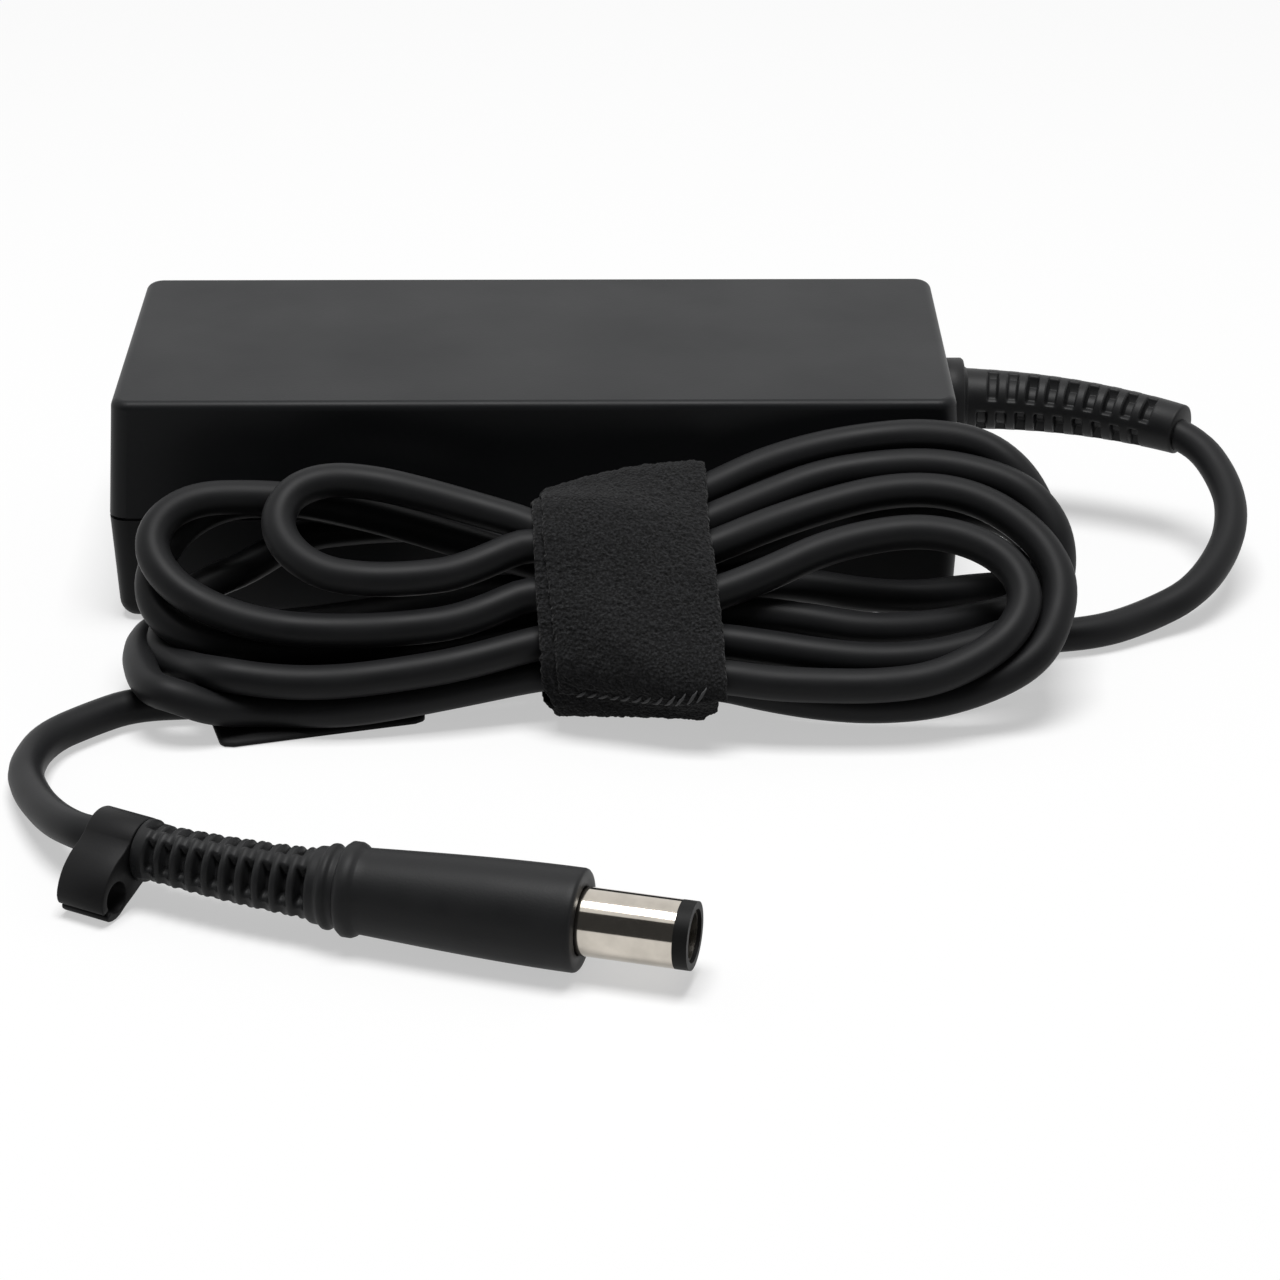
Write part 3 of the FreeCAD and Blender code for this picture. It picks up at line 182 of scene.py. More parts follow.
dipped = {"grain": 0.8, "depth": 0.05, "patch": 3}
ferrite = {"grain": 0.5, "depth": 0.05, "patch": 2}
sinkRolling = {"grain": 0.3, "streak": (1, 12, 1)}
sheetRolling = {"grain": 0.4, "streak": (14, 1, 1)}
carriedOver = {
    "circuit_board": mouldedFinish("boardLaminate", (0.42, 0.3, 0.13), (0.33, 0.22, 0.09), 0.55,
                                   grain=0.4, patch=2.5),
    "fuse": mouldedFinish("fuseCase", (0.05, 0.05, 0.052), (0.08, 0.08, 0.08), 0.35, patch=3),
    "thermistor": mouldedFinish("thermistorDip", (0.04, 0.08, 0.05), (0.06, 0.11, 0.07), 0.5, **dipped),
    "varistor": mouldedFinish("varistorDip", (0.03, 0.12, 0.38), (0.05, 0.17, 0.46), 0.45, **dipped),
    "auxiliary_capacitor": mouldedFinish("smallCanSleeve", (0.02, 0.03, 0.07), (0.04, 0.05, 0.1), 0.3,
                                         patch=4),
    "x_capacitor": mouldedFinish("filmCapacitorBox", (0.68, 0.48, 0.08), (0.75, 0.55, 0.12), 0.38, patch=4),
    "bridge_rectifier": mouldedFinish("bridgeEpoxy", (0.03, 0.03, 0.03), (0.05, 0.05, 0.05), 0.4, patch=4),
    "choke_base": mouldedFinish("chokeBase", (0.04, 0.04, 0.04), (0.07, 0.07, 0.07), 0.5, patch=4),
    "choke_core": mouldedFinish("chokeFerrite", (0.07, 0.07, 0.075), (0.1, 0.1, 0.105), 0.6, **ferrite),
    "bulk_capacitor": mouldedFinish("bigCanSleeve", (0.02, 0.025, 0.06), (0.03, 0.04, 0.08), 0.28, patch=6),
    "output_capacitors": mouldedFinish("outputCanSleeve", (0.03, 0.02, 0.03), (0.05, 0.04, 0.05), 0.3,
                                       patch=5),
    "primary_transistor": mouldedFinish("transistorEpoxy", (0.03, 0.03, 0.032), (0.05, 0.05, 0.05), 0.42,
                                        patch=3),
    "output_rectifier": mouldedFinish("rectifierEpoxy", (0.03, 0.03, 0.032), (0.05, 0.05, 0.05), 0.42,
                                      patch=3),
    "primary_heatsink": metalFinish("primarySinkSheet", (0.68, 0.69, 0.7), 0.4, **sinkRolling),
    "secondary_heatsink": metalFinish("secondarySinkSheet", (0.68, 0.69, 0.7), 0.4, **sinkRolling),
    "heatsink_clips": metalFinish("springSteel", (0.55, 0.56, 0.58), 0.3, grain=0.3, streak=(1, 1, 9)),
    "transformer_core": mouldedFinish("transformerFerrite", (0.06, 0.06, 0.065), (0.09, 0.09, 0.095), 0.55,
                                      **ferrite),
    "transformer_bobbin": mouldedFinish("bobbinPlastic", (0.035, 0.035, 0.035), (0.05, 0.05, 0.05), 0.45,
                                        patch=4),
    "output_choke": mouldedFinish("outputChokeShell", (0.05, 0.05, 0.055), (0.08, 0.08, 0.085), 0.55,
                                  grain=0.5, depth=0.04, patch=2),
    "y_capacitor": mouldedFinish("yCapacitorDip", (0.06, 0.2, 0.5), (0.08, 0.25, 0.56), 0.45, **dipped),
    "optocoupler": mouldedFinish("optocouplerEpoxy", (0.04, 0.04, 0.042), (0.06, 0.06, 0.06), 0.4, patch=2),
    "control_chip": mouldedFinish("chipEpoxy", (0.03, 0.03, 0.032), (0.05, 0.05, 0.05), 0.4, patch=2),
    "thermal_pads": mouldedFinish("siliconePad", (0.38, 0.45, 0.5), (0.46, 0.53, 0.58), 0.8,
                                  grain=0.6, depth=0.03, patch=3),
    "top_heat_spreader": metalFinish("topSpreaderSheet", (0.72, 0.72, 0.73), 0.38, **sheetRolling),
    "bottom_heat_spreader": metalFinish("bottomSpreaderSheet", (0.72, 0.72, 0.73), 0.38, **sheetRolling),
    "insulation_film": mouldedFinish("polyesterFilm", (0.7, 0.68, 0.58), (0.78, 0.76, 0.68), 0.25,
                                     grain=2.0, depth=0.01, patch=12),
}


def windingFinish(name, colour, shadeBetweenTurns, size, along, rough):
    # rounded turns of wire or tape along the given axis; a turn is 2 pi sizes wide; the grooves between the
    # turns get painted shade
    finish, tree, shader = newFinish(name, colour, rough)
    wave = tree.nodes.new("ShaderNodeTexWave")
    wave.bands_direction = along
    wave.inputs["Scale"].default_value = 1 / (size * mm) / 20  # the node has 20 radians to a unit
    wave.inputs["Distortion"].default_value = 0.4
    tree.links.new(placeNode(tree), wave.inputs["Vector"])
    turns = wave.outputs["Fac"]
    # painted shade: the darker colour lies in the grooves, on the same waves that make the bump
    tone = blendColours(tree, rampNode(tree, turns, 0.0, 0.5), shadeBetweenTurns, colour)
    tree.links.new(tone, shader.inputs["Base Color"])
    tree.links.new(bumpNode(tree, turns, 0.12), shader.inputs["Normal"])
    return finish


# each winding's second colour is painted shade for the grooves between its turns
carriedOver.update({
    "choke_windings": windingFinish("chokeCopper", (0.6, 0.22, 0.07), (0.12, 0.04, 0.015), 0.5, "Y", 0.3),
    "transformer_winding": windingFinish("windingTape", (0.7, 0.54, 0.08), (0.4, 0.28, 0.03), 1.4, "Z",
                                         0.35),
    "output_wires": mouldedFinish("wireInsulation", (0.45, 0.03, 0.03), (0.52, 0.05, 0.05), 0.4, patch=3),
    "inlet_contacts": metalFinish("contactPlate", (0.75, 0.73, 0.68), 0.25, grain=0.1),
    "inlet_housing": inletBlack,
    "top_cover": caseTop,
    "bottom_cover": caseBottom,
    "plug_barrel": nickel,
    "plug_inner_contact": brassInPaintedShade,
    "plug_centre_pin": brassInPaintedShade,
    "plug_tip_insulator": tipBlack,
})
for nodeName, finish in carriedOver.items():
    nodes[nodeName].data.materials.clear()
    nodes[nodeName].data.materials.append(finish)
print("finishes given to", len(carriedOver), "carried-over nodes")


# camera at the photograph's angle: angles in degrees, clipStart in metres
photoView = {
    "place": (9.1, -446.5, 202.5), "down": 25.87, "turn": 0.52, "roll": 0.07,
    "lens": 103.8, "sensor": 36, "clipStart": 0.01,
}
camera = bpy.data.objects.new("photoCamera", bpy.data.cameras.new("photoCamera"))
camera.location = inMetres(photoView["place"])
camera.rotation_euler = (math.radians(90 - photoView["down"]), math.radians(-photoView["roll"]),
                         math.radians(-photoView["turn"]))
camera.data.lens = photoView["lens"]
camera.data.sensor_width = photoView["sensor"]
camera.data.clip_start = photoView["clipStart"]
scene.collection.objects.link(camera)
scene.camera = camera

# the output cord: lead, tied hank and tail on one smooth line
cord = {"diameter": 4.2, "length": 1369, "straightEnd": 3.0, "steps": 6, "roundness": 6}
hank = {"centre": (8.0, -40.4, 16.15), "lean": 36.5}
# from the case to the hank, in the frame's own axes, as tailPoints are
leadPoints = [
    (84.06, 3.46, 14.5), (86.9, 1.5, 13.8), (89.3, -3.8, 11.6), (90.1, -9.9, 9.4), (88.3, -16.7, 6.7),
    (83.4, -24.2, 4.2), (77.1, -27.6, 2.5), (70.6, -31.6, 2.2), (62.5, -33.0, 2.2), (49.2, -39.2, 2.2),
    (42.4, -43.3, 2.2), (36.9, -46.2, 2.3), (31.6, -47.6, 3.2), (26.6, -47.8, 4.8),
]
# every point of the hank: along it, up its slope and out of its face
# each pass under the strap, in the order the cord is wound
passes = [
    ((15.0, -11.4, -4.0), (6.7, -11.9, -4.3), (0.6, -12.9, -3.7), (-6.1, -13.6, -2.8)),
    ((-6.0, -0.6, -5.8), (0.5, 5.0, -4.6), (6.9, 7.5, -1.2), (14.2, 11.0, -1.3)),
    ((14.3, -6.4, -1.2), (6.9, -6.5, -1.3), (0.5, -8.9, -0.6), (-6.1, -11.1, 0.7)),
    ((-6.2, 7.7, -5.1), (0.6, 6.6, -2.6), (6.9, 2.5, -0.4), (14.2, 5.9, 0.1)),
    ((14.3, -11.0, 0.4), (6.9, -10.9, 0.8), (0.5, -8.3, -1.9), (-6.1, -5.5, -2.3)),
    ((-6.0, 3.5, -4.1), (0.5, 2.9, -0.6), (6.9, -1.5, 1.2), (14.2, 1.4, 1.2)),
    ((14.2, -15.9, -1.2), (6.9, -15.3, -1.7), (0.5, -7.6, 3.1), (-6.1, 1.9, 3.6)),
    ((-6.1, 2.6, 3.1), (0.5, -3.6, 3.5), (6.9, -8.2, 2.9), (14.1, -6.2, 3.0)),
    ((14.1, -17.1, 3.0), (6.9, -16.8, 2.8), (0.5, -11.7, 3.9), (-6.1, -4.4, 2.4)),
    ((-6.1, 0.2, -1.8), (0.5, 0.0, -3.1), (6.9, 1.3, -5.0), (14.1, 1.7, -3.7)),
    ((14.2, -3.2, -2.8), (6.8, -2.5, -2.9), (0.8, -4.5, -6.8), (-7.5, -9.2, -6.1)),
]
# each turn between two passes, left and right by turns
turns = [
    ((-15.8, -16.0, -2.5), (-22.9, -17.6, -2.4), (-30.9, -19.1, -2.2), (-39.9, -18.2, -3.5),
     (-45.8, -19.6, -0.6), (-50.2, -18.7, 1.4), (-53.2, -17.3, 0.3), (-55.4, -11.9, -3.9),
     (-55.8, -6.5, -8.5), (-54.3, -3.3, -10.9), (-51.0, -2.7, -12.0), (-45.3, -2.1, -13.4),
     (-38.6, -1.4, -13.8), (-31.0, -0.7, -13.2), (-23.4, 0.0, -11.8), (-16.4, 0.2, -8.6)),
    ((19.8, 13.9, -0.9), (27.0, 16.2, -0.6), (34.1, 17.5, -0.5), (40.5, 18.0, -0.5), (47.1, 17.0, -0.8),
     (51.6, 13.6, -1.4), (54.4, 9.3, -3.5), (55.4, 4.4, -5.0), (54.6, -0.4, -6.3), (50.8, -3.6, -6.6),
     (45.5, -5.4, -5.2), (39.4, -7.4, -3.7), (31.9, -8.3, -2.3), (25.5, -7.3, -1.7), (19.4, -6.5, -1.3)),
    ((-15.8, -14.3, 1.0), (-22.8, -15.7, 1.0), (-31.1, -16.9, 1.0), (-38.5, -16.7, 0.8),
     (-45.7, -16.0, 1.9), (-49.1, -13.1, -2.7), (-53.1, -10.2, -5.1), (-52.8, -5.9, -6.5),
     (-51.4, -1.2, -7.4), (-47.7, 1.7, -8.0), (-43.2, 3.8, -8.2), (-37.2, 8.7, -8.6), (-29.5, 9.5, -8.2),
     (-21.9, 9.5, -7.6), (-15.3, 8.9, -7.0)),
    ((19.8, 8.6, 0.0), (27.0, 11.8, 0.0), (34.0, 13.1, 0.0), (41.0, 13.5, 0.0), (47.7, 12.0, 0.0),
     (52.6, 9.5, -0.1), (55.7, 5.4, -1.1), (56.4, 1.0, -2.9), (55.0, -3.7, -3.3), (51.4, -7.8, -2.8),
     (46.1, -10.6, -1.7), (39.7, -12.9, -0.8), (32.5, -13.6, -0.1), (26.0, -13.0, 0.3),
     (19.3, -11.9, 0.5)),
    ((-15.8, -8.0, -2.1), (-22.8, -9.6, -2.0), (-31.1, -10.6, -2.0), (-38.6, -10.7, -2.0),
     (-45.6, -10.2, -2.0), (-51.1, -8.2, -2.0), (-54.2, -4.0, -2.0), (-54.1, 0.9, -2.2),
     (-51.3, 6.4, -2.6), (-45.8, 10.1, -2.8), (-38.5, 10.6, -3.5), (-31.0, 9.7, -4.2), (-23.4, 7.8, -4.8),
     (-16.4, 5.7, -5.5)),
    ((19.9, 4.1, 1.2), (27.5, 7.0, 1.2), (34.6, 9.0, 1.2), (41.1, 9.3, 1.2), (46.7, 7.7, 1.2),
     (51.4, 4.3, 1.2), (54.5, 0.3, 1.2), (55.8, -4.3, 1.2), (54.6, -9.7, 1.1), (51.9, -14.1, 0.8),
     (46.8, -16.8, -0.2), (40.0, -18.7, -1.0), (32.9, -19.2, -1.2), (26.5, -18.7, -1.2),
     (19.9, -17.4, -1.3)),
    ((-16.1, -3.5, 3.9), (-21.4, -4.9, 4.8), (-27.6, -5.2, 5.0), (-33.2, -4.4, 5.3), (-37.3, -1.2, 5.4),
     (-38.8, 2.9, 5.4), (-36.9, 7.0, 5.2), (-32.6, 8.8, 4.9), (-27.0, 8.4, 4.6), (-21.5, 7.1, 4.2),
     (-16.1, 5.7, 3.6)),
    ((20.8, -3.2, 3.0), (26.9, 0.0, 3.0), (33.6, 1.9, 3.0), (39.6, 2.5, 3.0), (45.4, 1.0, 3.0),
     (49.7, -2.2, 3.0), (51.4, -6.8, 3.0), (49.3, -11.6, 3.0), (45.0, -15.1, 3.0), (39.3, -17.8, 3.0),
     (32.8, -18.6, 3.0), (26.5, -18.5, 3.0), (20.3, -18.2, 3.0)),
    ((-15.8, -9.4, 2.4), (-22.9, -10.4, 2.4), (-30.5, -10.8, 2.4), (-38.1, -10.4, 2.4),
     (-45.0, -8.4, 2.4), (-50.9, -4.8, 2.4), (-54.2, 0.3, 2.4), (-53.0, 4.8, 2.4), (-48.9, 7.6, 2.3),
     (-42.5, 8.2, 1.7), (-36.1, 8.3, 0.6), (-29.0, 7.1, -0.3), (-21.8, 5.2, -1.0), (-16.0, 3.4, -1.5)),
    ((20.3, 4.5, -4.5), (28.0, 8.4, -5.8), (35.6, 11.0, -7.3), (42.6, 12.2, -8.3), (48.6, 11.9, -8.8),
     (53.2, 9.4, -9.4), (54.8, 5.1, -9.9), (51.8, 1.6, -9.8), (45.6, 0.7, -9.0), (38.8, -1.0, -7.6),
     (32.0, -1.3, -6.2), (25.4, -0.7, -4.8), (19.8, -1.0, -3.5)),
]
tailPoints = [
    (-8.5, -46.9, 4.2), (-16.0, -47.8, 2.8), (-24.0, -48.8, 2.2), (-32.5, -49.6, 2.15),
    (-40.5, -50.0, 2.15), (-47.9, -50.7, 2.15), (-52.6, -54.7, 2.2), (-57.3, -59.6, 2.15),
    (-58.7, -67.4, 2.2), (-56.9, -74.3, 2.8), (-53.3, -82.7, 4.2), (-49.5, -88.3, 5.5),
]


def onHank(u, v, w):
    lean = math.radians(hank["lean"])
    return Vector(hank["centre"]) + Vector((u, v * math.cos(lean) - w * math.sin(lean),
                                            v * math.sin(lean) + w * math.cos(lean)))


def overHank(place):
    # the other way: from a place to its distances along, up and out of the hank
    lean = math.radians(hank["lean"])
    away = place - Vector(hank["centre"])
    return Vector((away.x, away.y * math.cos(lean) + away.z * math.sin(lean),
                   away.z * math.cos(lean) - away.y * math.sin(lean)))


# the plug lies level: its ring, the bend relief behind it and the handle in front of it
plug = {
    "ring": (-18.2, -101.9, 5.75), "yaw": -15.5, "ringWidth": 2.2, "ringDiameter": 10.4,
    "reliefLength": 31.3, "reliefBend": 15.5, "reliefFront": 8.7, "reliefRear": 7.0, "taper": 22.0,
    # place along the relief, width, height and rounding of the ridge behind the ring
    "ridge": (0.9, 0.9, 0.4, 0.3),
    "ribDepth": 0.42, "seatDepth": 0.85, "seatClearance": 0.05, "seatEdge": 0.03, "endRounding": 0.7,
    "slots": 10, "firstSlot": 3.3, "slotPitch": 1.98, "slotWidth": 1.0, "slotAngle": 62, "roll": 20,
    "shallow": 1.0, "shallowCount": 0, "core": 4.35, "length": 30.3, "cordEnd": 27.5,
    "handleLength": 25.5, "rear": 9.4, "front": 11.2,
}
yaw = math.radians(plug["yaw"])
plugWay = Vector((math.cos(yaw), math.sin(yaw), 0))


def plugLine(distance):
    # axis of the plug's bend relief, from its ring back to the cord
    radius = plug["reliefLength"] / math.radians(plug["reliefBend"])
    turn = distance / radius
    side = Vector((-plugWay.y, plugWay.x, 0))
    start = Vector(plug["ring"]) - plugWay * (plug["ringWidth"] / 2)
    place = start - plugWay * (radius * math.sin(turn)) + side * (radius * (1 - math.cos(turn)))
    return place, (plugWay * -math.cos(turn) + side * math.sin(turn)).normalized()


tailEnd, tailWay = plugLine(plug["cordEnd"])
cordPoints = [Vector(p) for p in leadPoints]
for k, strand in enumerate(passes):
    cordPoints += [onHank(*p) for p in strand]
    if k < len(turns):
        cordPoints += [onHank(*p) for p in turns[k]]
cordPoints += [Vector(p) for p in tailPoints] + [tailEnd + tailWay * cord["straightEnd"], tailEnd]
curve = bpy.data.curves.new("outputCord", "CURVE")
curve.dimensions = "3D"
spline = curve.splines.new("NURBS")
spline.points.add(len(cordPoints) - 1)
for slot, point in zip(spline.points, cordPoints):
    slot.co = (*inMetres(point), 1)
spline.order_u = 3
spline.use_endpoint_u = True
spline.resolution_u = cord["steps"]
curve.bevel_depth = cord["diameter"] / 2 * mm
curve.bevel_resolution = cord["roundness"]
curve.use_fill_caps = True
curve.materials.append(cordRubber)
outputCord = bpy.data.objects.new("outputCord", curve)
scene.collection.objects.link(outputCord)
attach(outputCord, "root")
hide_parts("dc_cord_lead", "dc_cord_hank", "dc_cord_tail")
print("cord laid through", len(cordPoints), "points")


# turned pieces, made of rings of points along a line
def sideways(way):
    # the level and the upright direction square to a line's way
    across = Vector((0, 0, 1)).cross(way).normalized()
    return across, way.cross(across)


def ringFaces(first, rings, around):
    # faces that join neighbouring rings; first is the number of the first ring's first point
    faces = []
    for k in range(rings - 1):
        low = first + k * around
        for j in range(around):
            after = (j + 1) % around
            faces.append((low + j, low + after, low + around + after, low + around + j))
    return faces


def ringPiece(name, centre, way, outline, finish, around=96):
    # outline gives distance along the axis and radius, from one end to the other
    across, up = sideways(way)
    verts = []
    for distance, radius in outline:
        for j in range(around):
            angle = 2 * math.pi * j / around
            spoke = (across * math.cos(angle) + up * math.sin(angle)) * radius
            verts.append(Vector(centre) + way * distance + spoke)
    return addMesh(name, verts, ringFaces(0, len(outline), around), finish)


# bend reliefs: a tapered, bent sleeve with four rows of windows
relief = {"step": 0.16, "around": 96, "rows": 4, "windowEdge": 0.12, "windowEdgeAngle": 3}


def smooth(value):
    value = max(0.0, min(1.0, value))
    return value * value * (3 - 2 * value)


def pulse(value, start, width, ease):
    # 1 inside a stretch, 0 outside it, with rounded edges
    return smooth((value - start + ease) / (2 * ease)) * smooth((start + width + ease - value) / (2 * ease))


def windowDepth(style, distance, angle):
    # 1 where a window goes right down to the core, 0 between the windows
    deep = 0.0
    half = math.radians(style["slotAngle"] / 2)
    for row in range(relief["rows"]):
        offset = (row % 2) * style["slotPitch"] / 2
        turned = angle - math.radians(style["roll"] + row * 360 / relief["rows"])
        around = (turned + math.pi) % (2 * math.pi) - math.pi
        across = pulse(around, -half, 2 * half, math.radians(relief["windowEdgeAngle"]))
        if across <= 0:
            continue
        for k in range(style["slots"]):
            start = style["firstSlot"] + offset + k * style["slotPitch"]
            share = style["shallow"] if k < style["shallowCount"] else 1.0
            along = pulse(distance, start, style["slotWidth"], relief["windowEdge"])
            deep = max(deep, across * share * along)
    return deep


def reliefPiece(name, style, line, profile, finish):
    # line(distance) gives the place and direction on the axis, profile(distance) the outer radius
    steps = int(style["length"] / relief["step"])
    around = relief["around"]
    verts = []
    for k in range(steps + 1):
        distance = style["length"] * k / steps
        place, way = line(distance)
        across, up = sideways(way)
        outer = profile(distance)
        for j in range(around):
            angle = 2 * math.pi * j / around
            radius = outer - (outer - style["core"] / 2) * windowDepth(style, distance, angle)
            verts.append(place + (across * math.cos(angle) + up * math.sin(angle)) * radius)
    faces = ringFaces(0, steps + 1, around)
    faces.append(tuple(range(around)))
    faces.append(tuple(steps * around + j for j in range(around)))
    return addMesh(name, verts, faces, finish)


caseRelief = {
    "start": (54.5, 13.0, 15.6), "length": 32.3, "bend": 34.5, "droop": 4.5, "root": 8.3, "end": 6.6,
    "endRounding": 0.35, "core": 4.5, "slots": 9, "firstSlot": 4.2, "slotPitch": 2.72, "slotWidth": 1.35,
    "slotAngle": 64, "roll": 37, "shallow": 0.45, "shallowCount": 2,
    "flangeStart": (53.35, 13.0, 15.6), "flange": 10.9,
}


def caseReliefLine(distance):
    droop = math.radians(caseRelief["droop"])
    side = Vector((0, -math.cos(droop), -math.sin(droop)))
    radius = caseRelief["length"] / math.radians(caseRelief["bend"])
    turn = distance / radius
    along = Vector((1, 0, 0))
    away = along * (radius * math.sin(turn)) + side * (radius * (1 - math.cos(turn)))
    return Vector(caseRelief["start"]) + away, (along * math.cos(turn) + side * math.sin(turn)).normalized()


def caseReliefProfile(distance):
    share = distance / caseRelief["length"]
    radius = caseRelief["root"] / 2 + (caseRelief["end"] - caseRelief["root"]) / 2 * share
    fromEnd = caseRelief["length"] - distance
    rounding = caseRelief["endRounding"]
    if fromEnd < rounding:
        radius -= rounding - math.sqrt(max(0.0, rounding ** 2 - (rounding - fromEnd) ** 2))
    return radius


caseReliefPiece = reliefPiece("caseRelief", caseRelief, caseReliefLine, caseReliefProfile, reliefRubber)
flangeRadius = caseRelief["flange"] / 2
flange = ringPiece("reliefFlange", caseRelief["flangeStart"], Vector((1, 0, 0)), [
    (0.0, 1.0), (0.0, flangeRadius - 0.2), (0.2, flangeRadius), (3.1, flangeRadius),
    (3.4, flangeRadius - 0.25), (3.45, 4.6), (3.6, 4.3), (3.9, 4.1)], reliefRubber)
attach(caseReliefPiece, "root")
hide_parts("case_strain_relief")
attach(flange, "root")
print("case relief made")

# cord clip: a band flush with the plug's collar and an open hook in front of it
# its side view is given out from the plug's axis and up; band and hole are radii
clip = {
    "place": 3.4, "width": 6.1, "band": 3.56, "hole": 2.62,
    # the hook's bore: place and radius, and the angles between which its wall runs
    "bore": (5.75, -3.1, 1.75), "mouth": (-26, 316),
    # the arm over the hook, then back under it
    "arm": [(3.95, 1.5), (4.95, 1.15), (5.7, 0.75), (6.4, 0.25), (7.05, -0.3), (7.55, -0.9), (8.0, -1.6),
            (8.35, -2.4), (8.5, -3.1), (8.45, -3.7), (8.25, -4.2)],
    "lip": [(7.75, -4.7), (7.7, -5.1), (7.35, -5.45), (6.8, -5.62), (6.1, -5.65), (5.4, -5.5), (4.2, -4.95),
            (2.6, -4.35), (1.4, -3.85)],
    "rootAbove": 38, "rootBelow": -82,  # angles on the band where the hook's two sides meet it
    "edge": 0.16,
}


def plugReliefProfile(distance):
    # a ridge behind the ring, ribs between the windows, then a plain collar with a seat for the clip
    share = min(1.0, distance / plug["taper"])
    radius = (plug["reliefFront"] + (plug["reliefRear"] - plug["reliefFront"]) * share) / 2
    ridgeAt, ridgeWidth, ridgeHeight, ridgeEase = plug["ridge"]
    radius += ridgeHeight * pulse(distance, ridgeAt, ridgeWidth, ridgeEase)
    ease, lastEase = 0.8, 0.6  # how gently the ribs begin and end
    last = plug["firstSlot"] + plug["slots"] * plug["slotPitch"] - lastEase
    if plug["firstSlot"] - ease < distance < last:
        middle = distance - plug["firstSlot"] - plug["slotWidth"] / 2
        ribs = 0.5 + 0.5 * math.cos(2 * math.pi * middle / plug["slotPitch"])
        begun = smooth((distance - plug["firstSlot"] + ease) / ease)
        radius -= plug["ribDepth"] * ribs * begun * smooth((last - distance) / lastEase)
    seatWidth = clip["width"] + 2 * plug["seatClearance"]
    seat = plug["length"] - clip["place"] - seatWidth / 2
    radius -= plug["seatDepth"] * pulse(distance, seat, seatWidth, plug["seatEdge"])
    fromEnd = plug["length"] - distance
    return radius - max(0.0, plug["endRounding"] - fromEnd)


def handleOutline():
    # the ring, then the handle that swells towards the barrel, then the rim of its mouth
    half = plug["ringWidth"] / 2
    ring = plug["ringDiameter"] / 2
    front = plug["front"] / 2
    length = plug["handleLength"]
    outline = [(-half - 0.1, 2.3), (-half - 0.05, ring - 0.9), (-half + 0.15, ring - 0.35),
               (-half + 0.6, ring), (half - 0.75, ring), (half - 0.35, ring - 0.18),
               (half - 0.05, plug["rear"] / 2 + 0.06)]
    bodyStart, bodyEnd, steps = half + 0.25, length - 1.0, 24
    for k in range(steps + 1):
        share = k / steps
        wider = smooth(0.5 + share / 2) * 2 - 1
        radius = (plug["rear"] + (plug["front"] - plug["rear"]) * wider) / 2
        outline.append((bodyStart + (bodyEnd - bodyStart) * share, radius))
    outline += [(length - 0.45, front), (length - 0.2, front - 0.07), (length - 0.05, front - 0.22),
                (length, front - 0.4), (length, 3.85), (length - 0.25, 3.72), (length - 1.5, 3.7)]
    return outline


plugRelief = reliefPiece("plugRelief", plug, plugLine, plugReliefProfile, plugShell)
plugHandle = ringPiece("plugHandle", plug["ring"], plugWay, handleOutline(), plugShell, 128)
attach(plugRelief, "root")
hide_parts("plug_handle")
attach(plugHandle, "root")
print("plug made")


def clipPiece():
    place, way = plugLine(plug["length"] - clip["place"])
    out = sideways(way)[0]
    up = Vector((0, 0, 1))
    shape = bmesh.new()

    def arc(centre, radius, start, end, steps):
        turns = [math.radians(start + (end - start) * k / steps) for k in range(steps + 1)]
        return [(centre[0] + radius * math.cos(turn), centre[1] + radius * math.sin(turn)) for turn in turns]

    def loop(points):
        near = [place + out * x + up * z - way * (clip["width"] / 2) for x, z in points]
        verts = [shape.verts.new(inMetres(p)) for p in near]
        return [shape.edges.new((verts[k - 1], verts[k])) for k in range(len(verts))]

    x, z, bore = clip["bore"]
    outline = arc((0, 0), clip["band"], clip["rootBelow"], clip["rootAbove"] - 360, 60) + clip["arm"]
    outline += arc((x, z), bore, *clip["mouth"], 40) + clip["lip"]
    hole = arc((0, 0), clip["hole"], 0, 354, 59)  # a whole circle of 60 points
    filled = bmesh.ops.triangle_fill(shape, use_beauty=True, edges=loop(outline) + loop(hole))
    faces = [g for g in filled["geom"] if isinstance(g, bmesh.types.BMFace)]
    moved = bmesh.ops.extrude_face_region(shape, geom=faces)
    verts = [g for g in moved["geom"] if isinstance(g, bmesh.types.BMVert)]
    bmesh.ops.translate(shape, verts=verts, vec=way * clip["width"] * mm)
    bmesh.ops.recalc_face_normals(shape, faces=shape.faces)
    mesh = bpy.data.meshes.new("cordClip")
    shape.to_mesh(mesh)
    shape.free()
    mesh.polygons.foreach_set("use_smooth", [True] * len(mesh.polygons))
    mesh.materials.append(clipNylon)
    piece = bpy.data.objects.new("cordClip", mesh)
    scene.collection.objects.link(piece)
    rounding = piece.modifiers.new("edge", "BEVEL")
    rounding.width = clip["edge"] * mm
    rounding.segments = 2
    rounding.limit_method = "ANGLE"
    rounding.angle_limit = math.radians(50)
    return piece


cordClip = clipPiece()
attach(cordClip, "root")
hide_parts("cord_clip")
print("clip made")

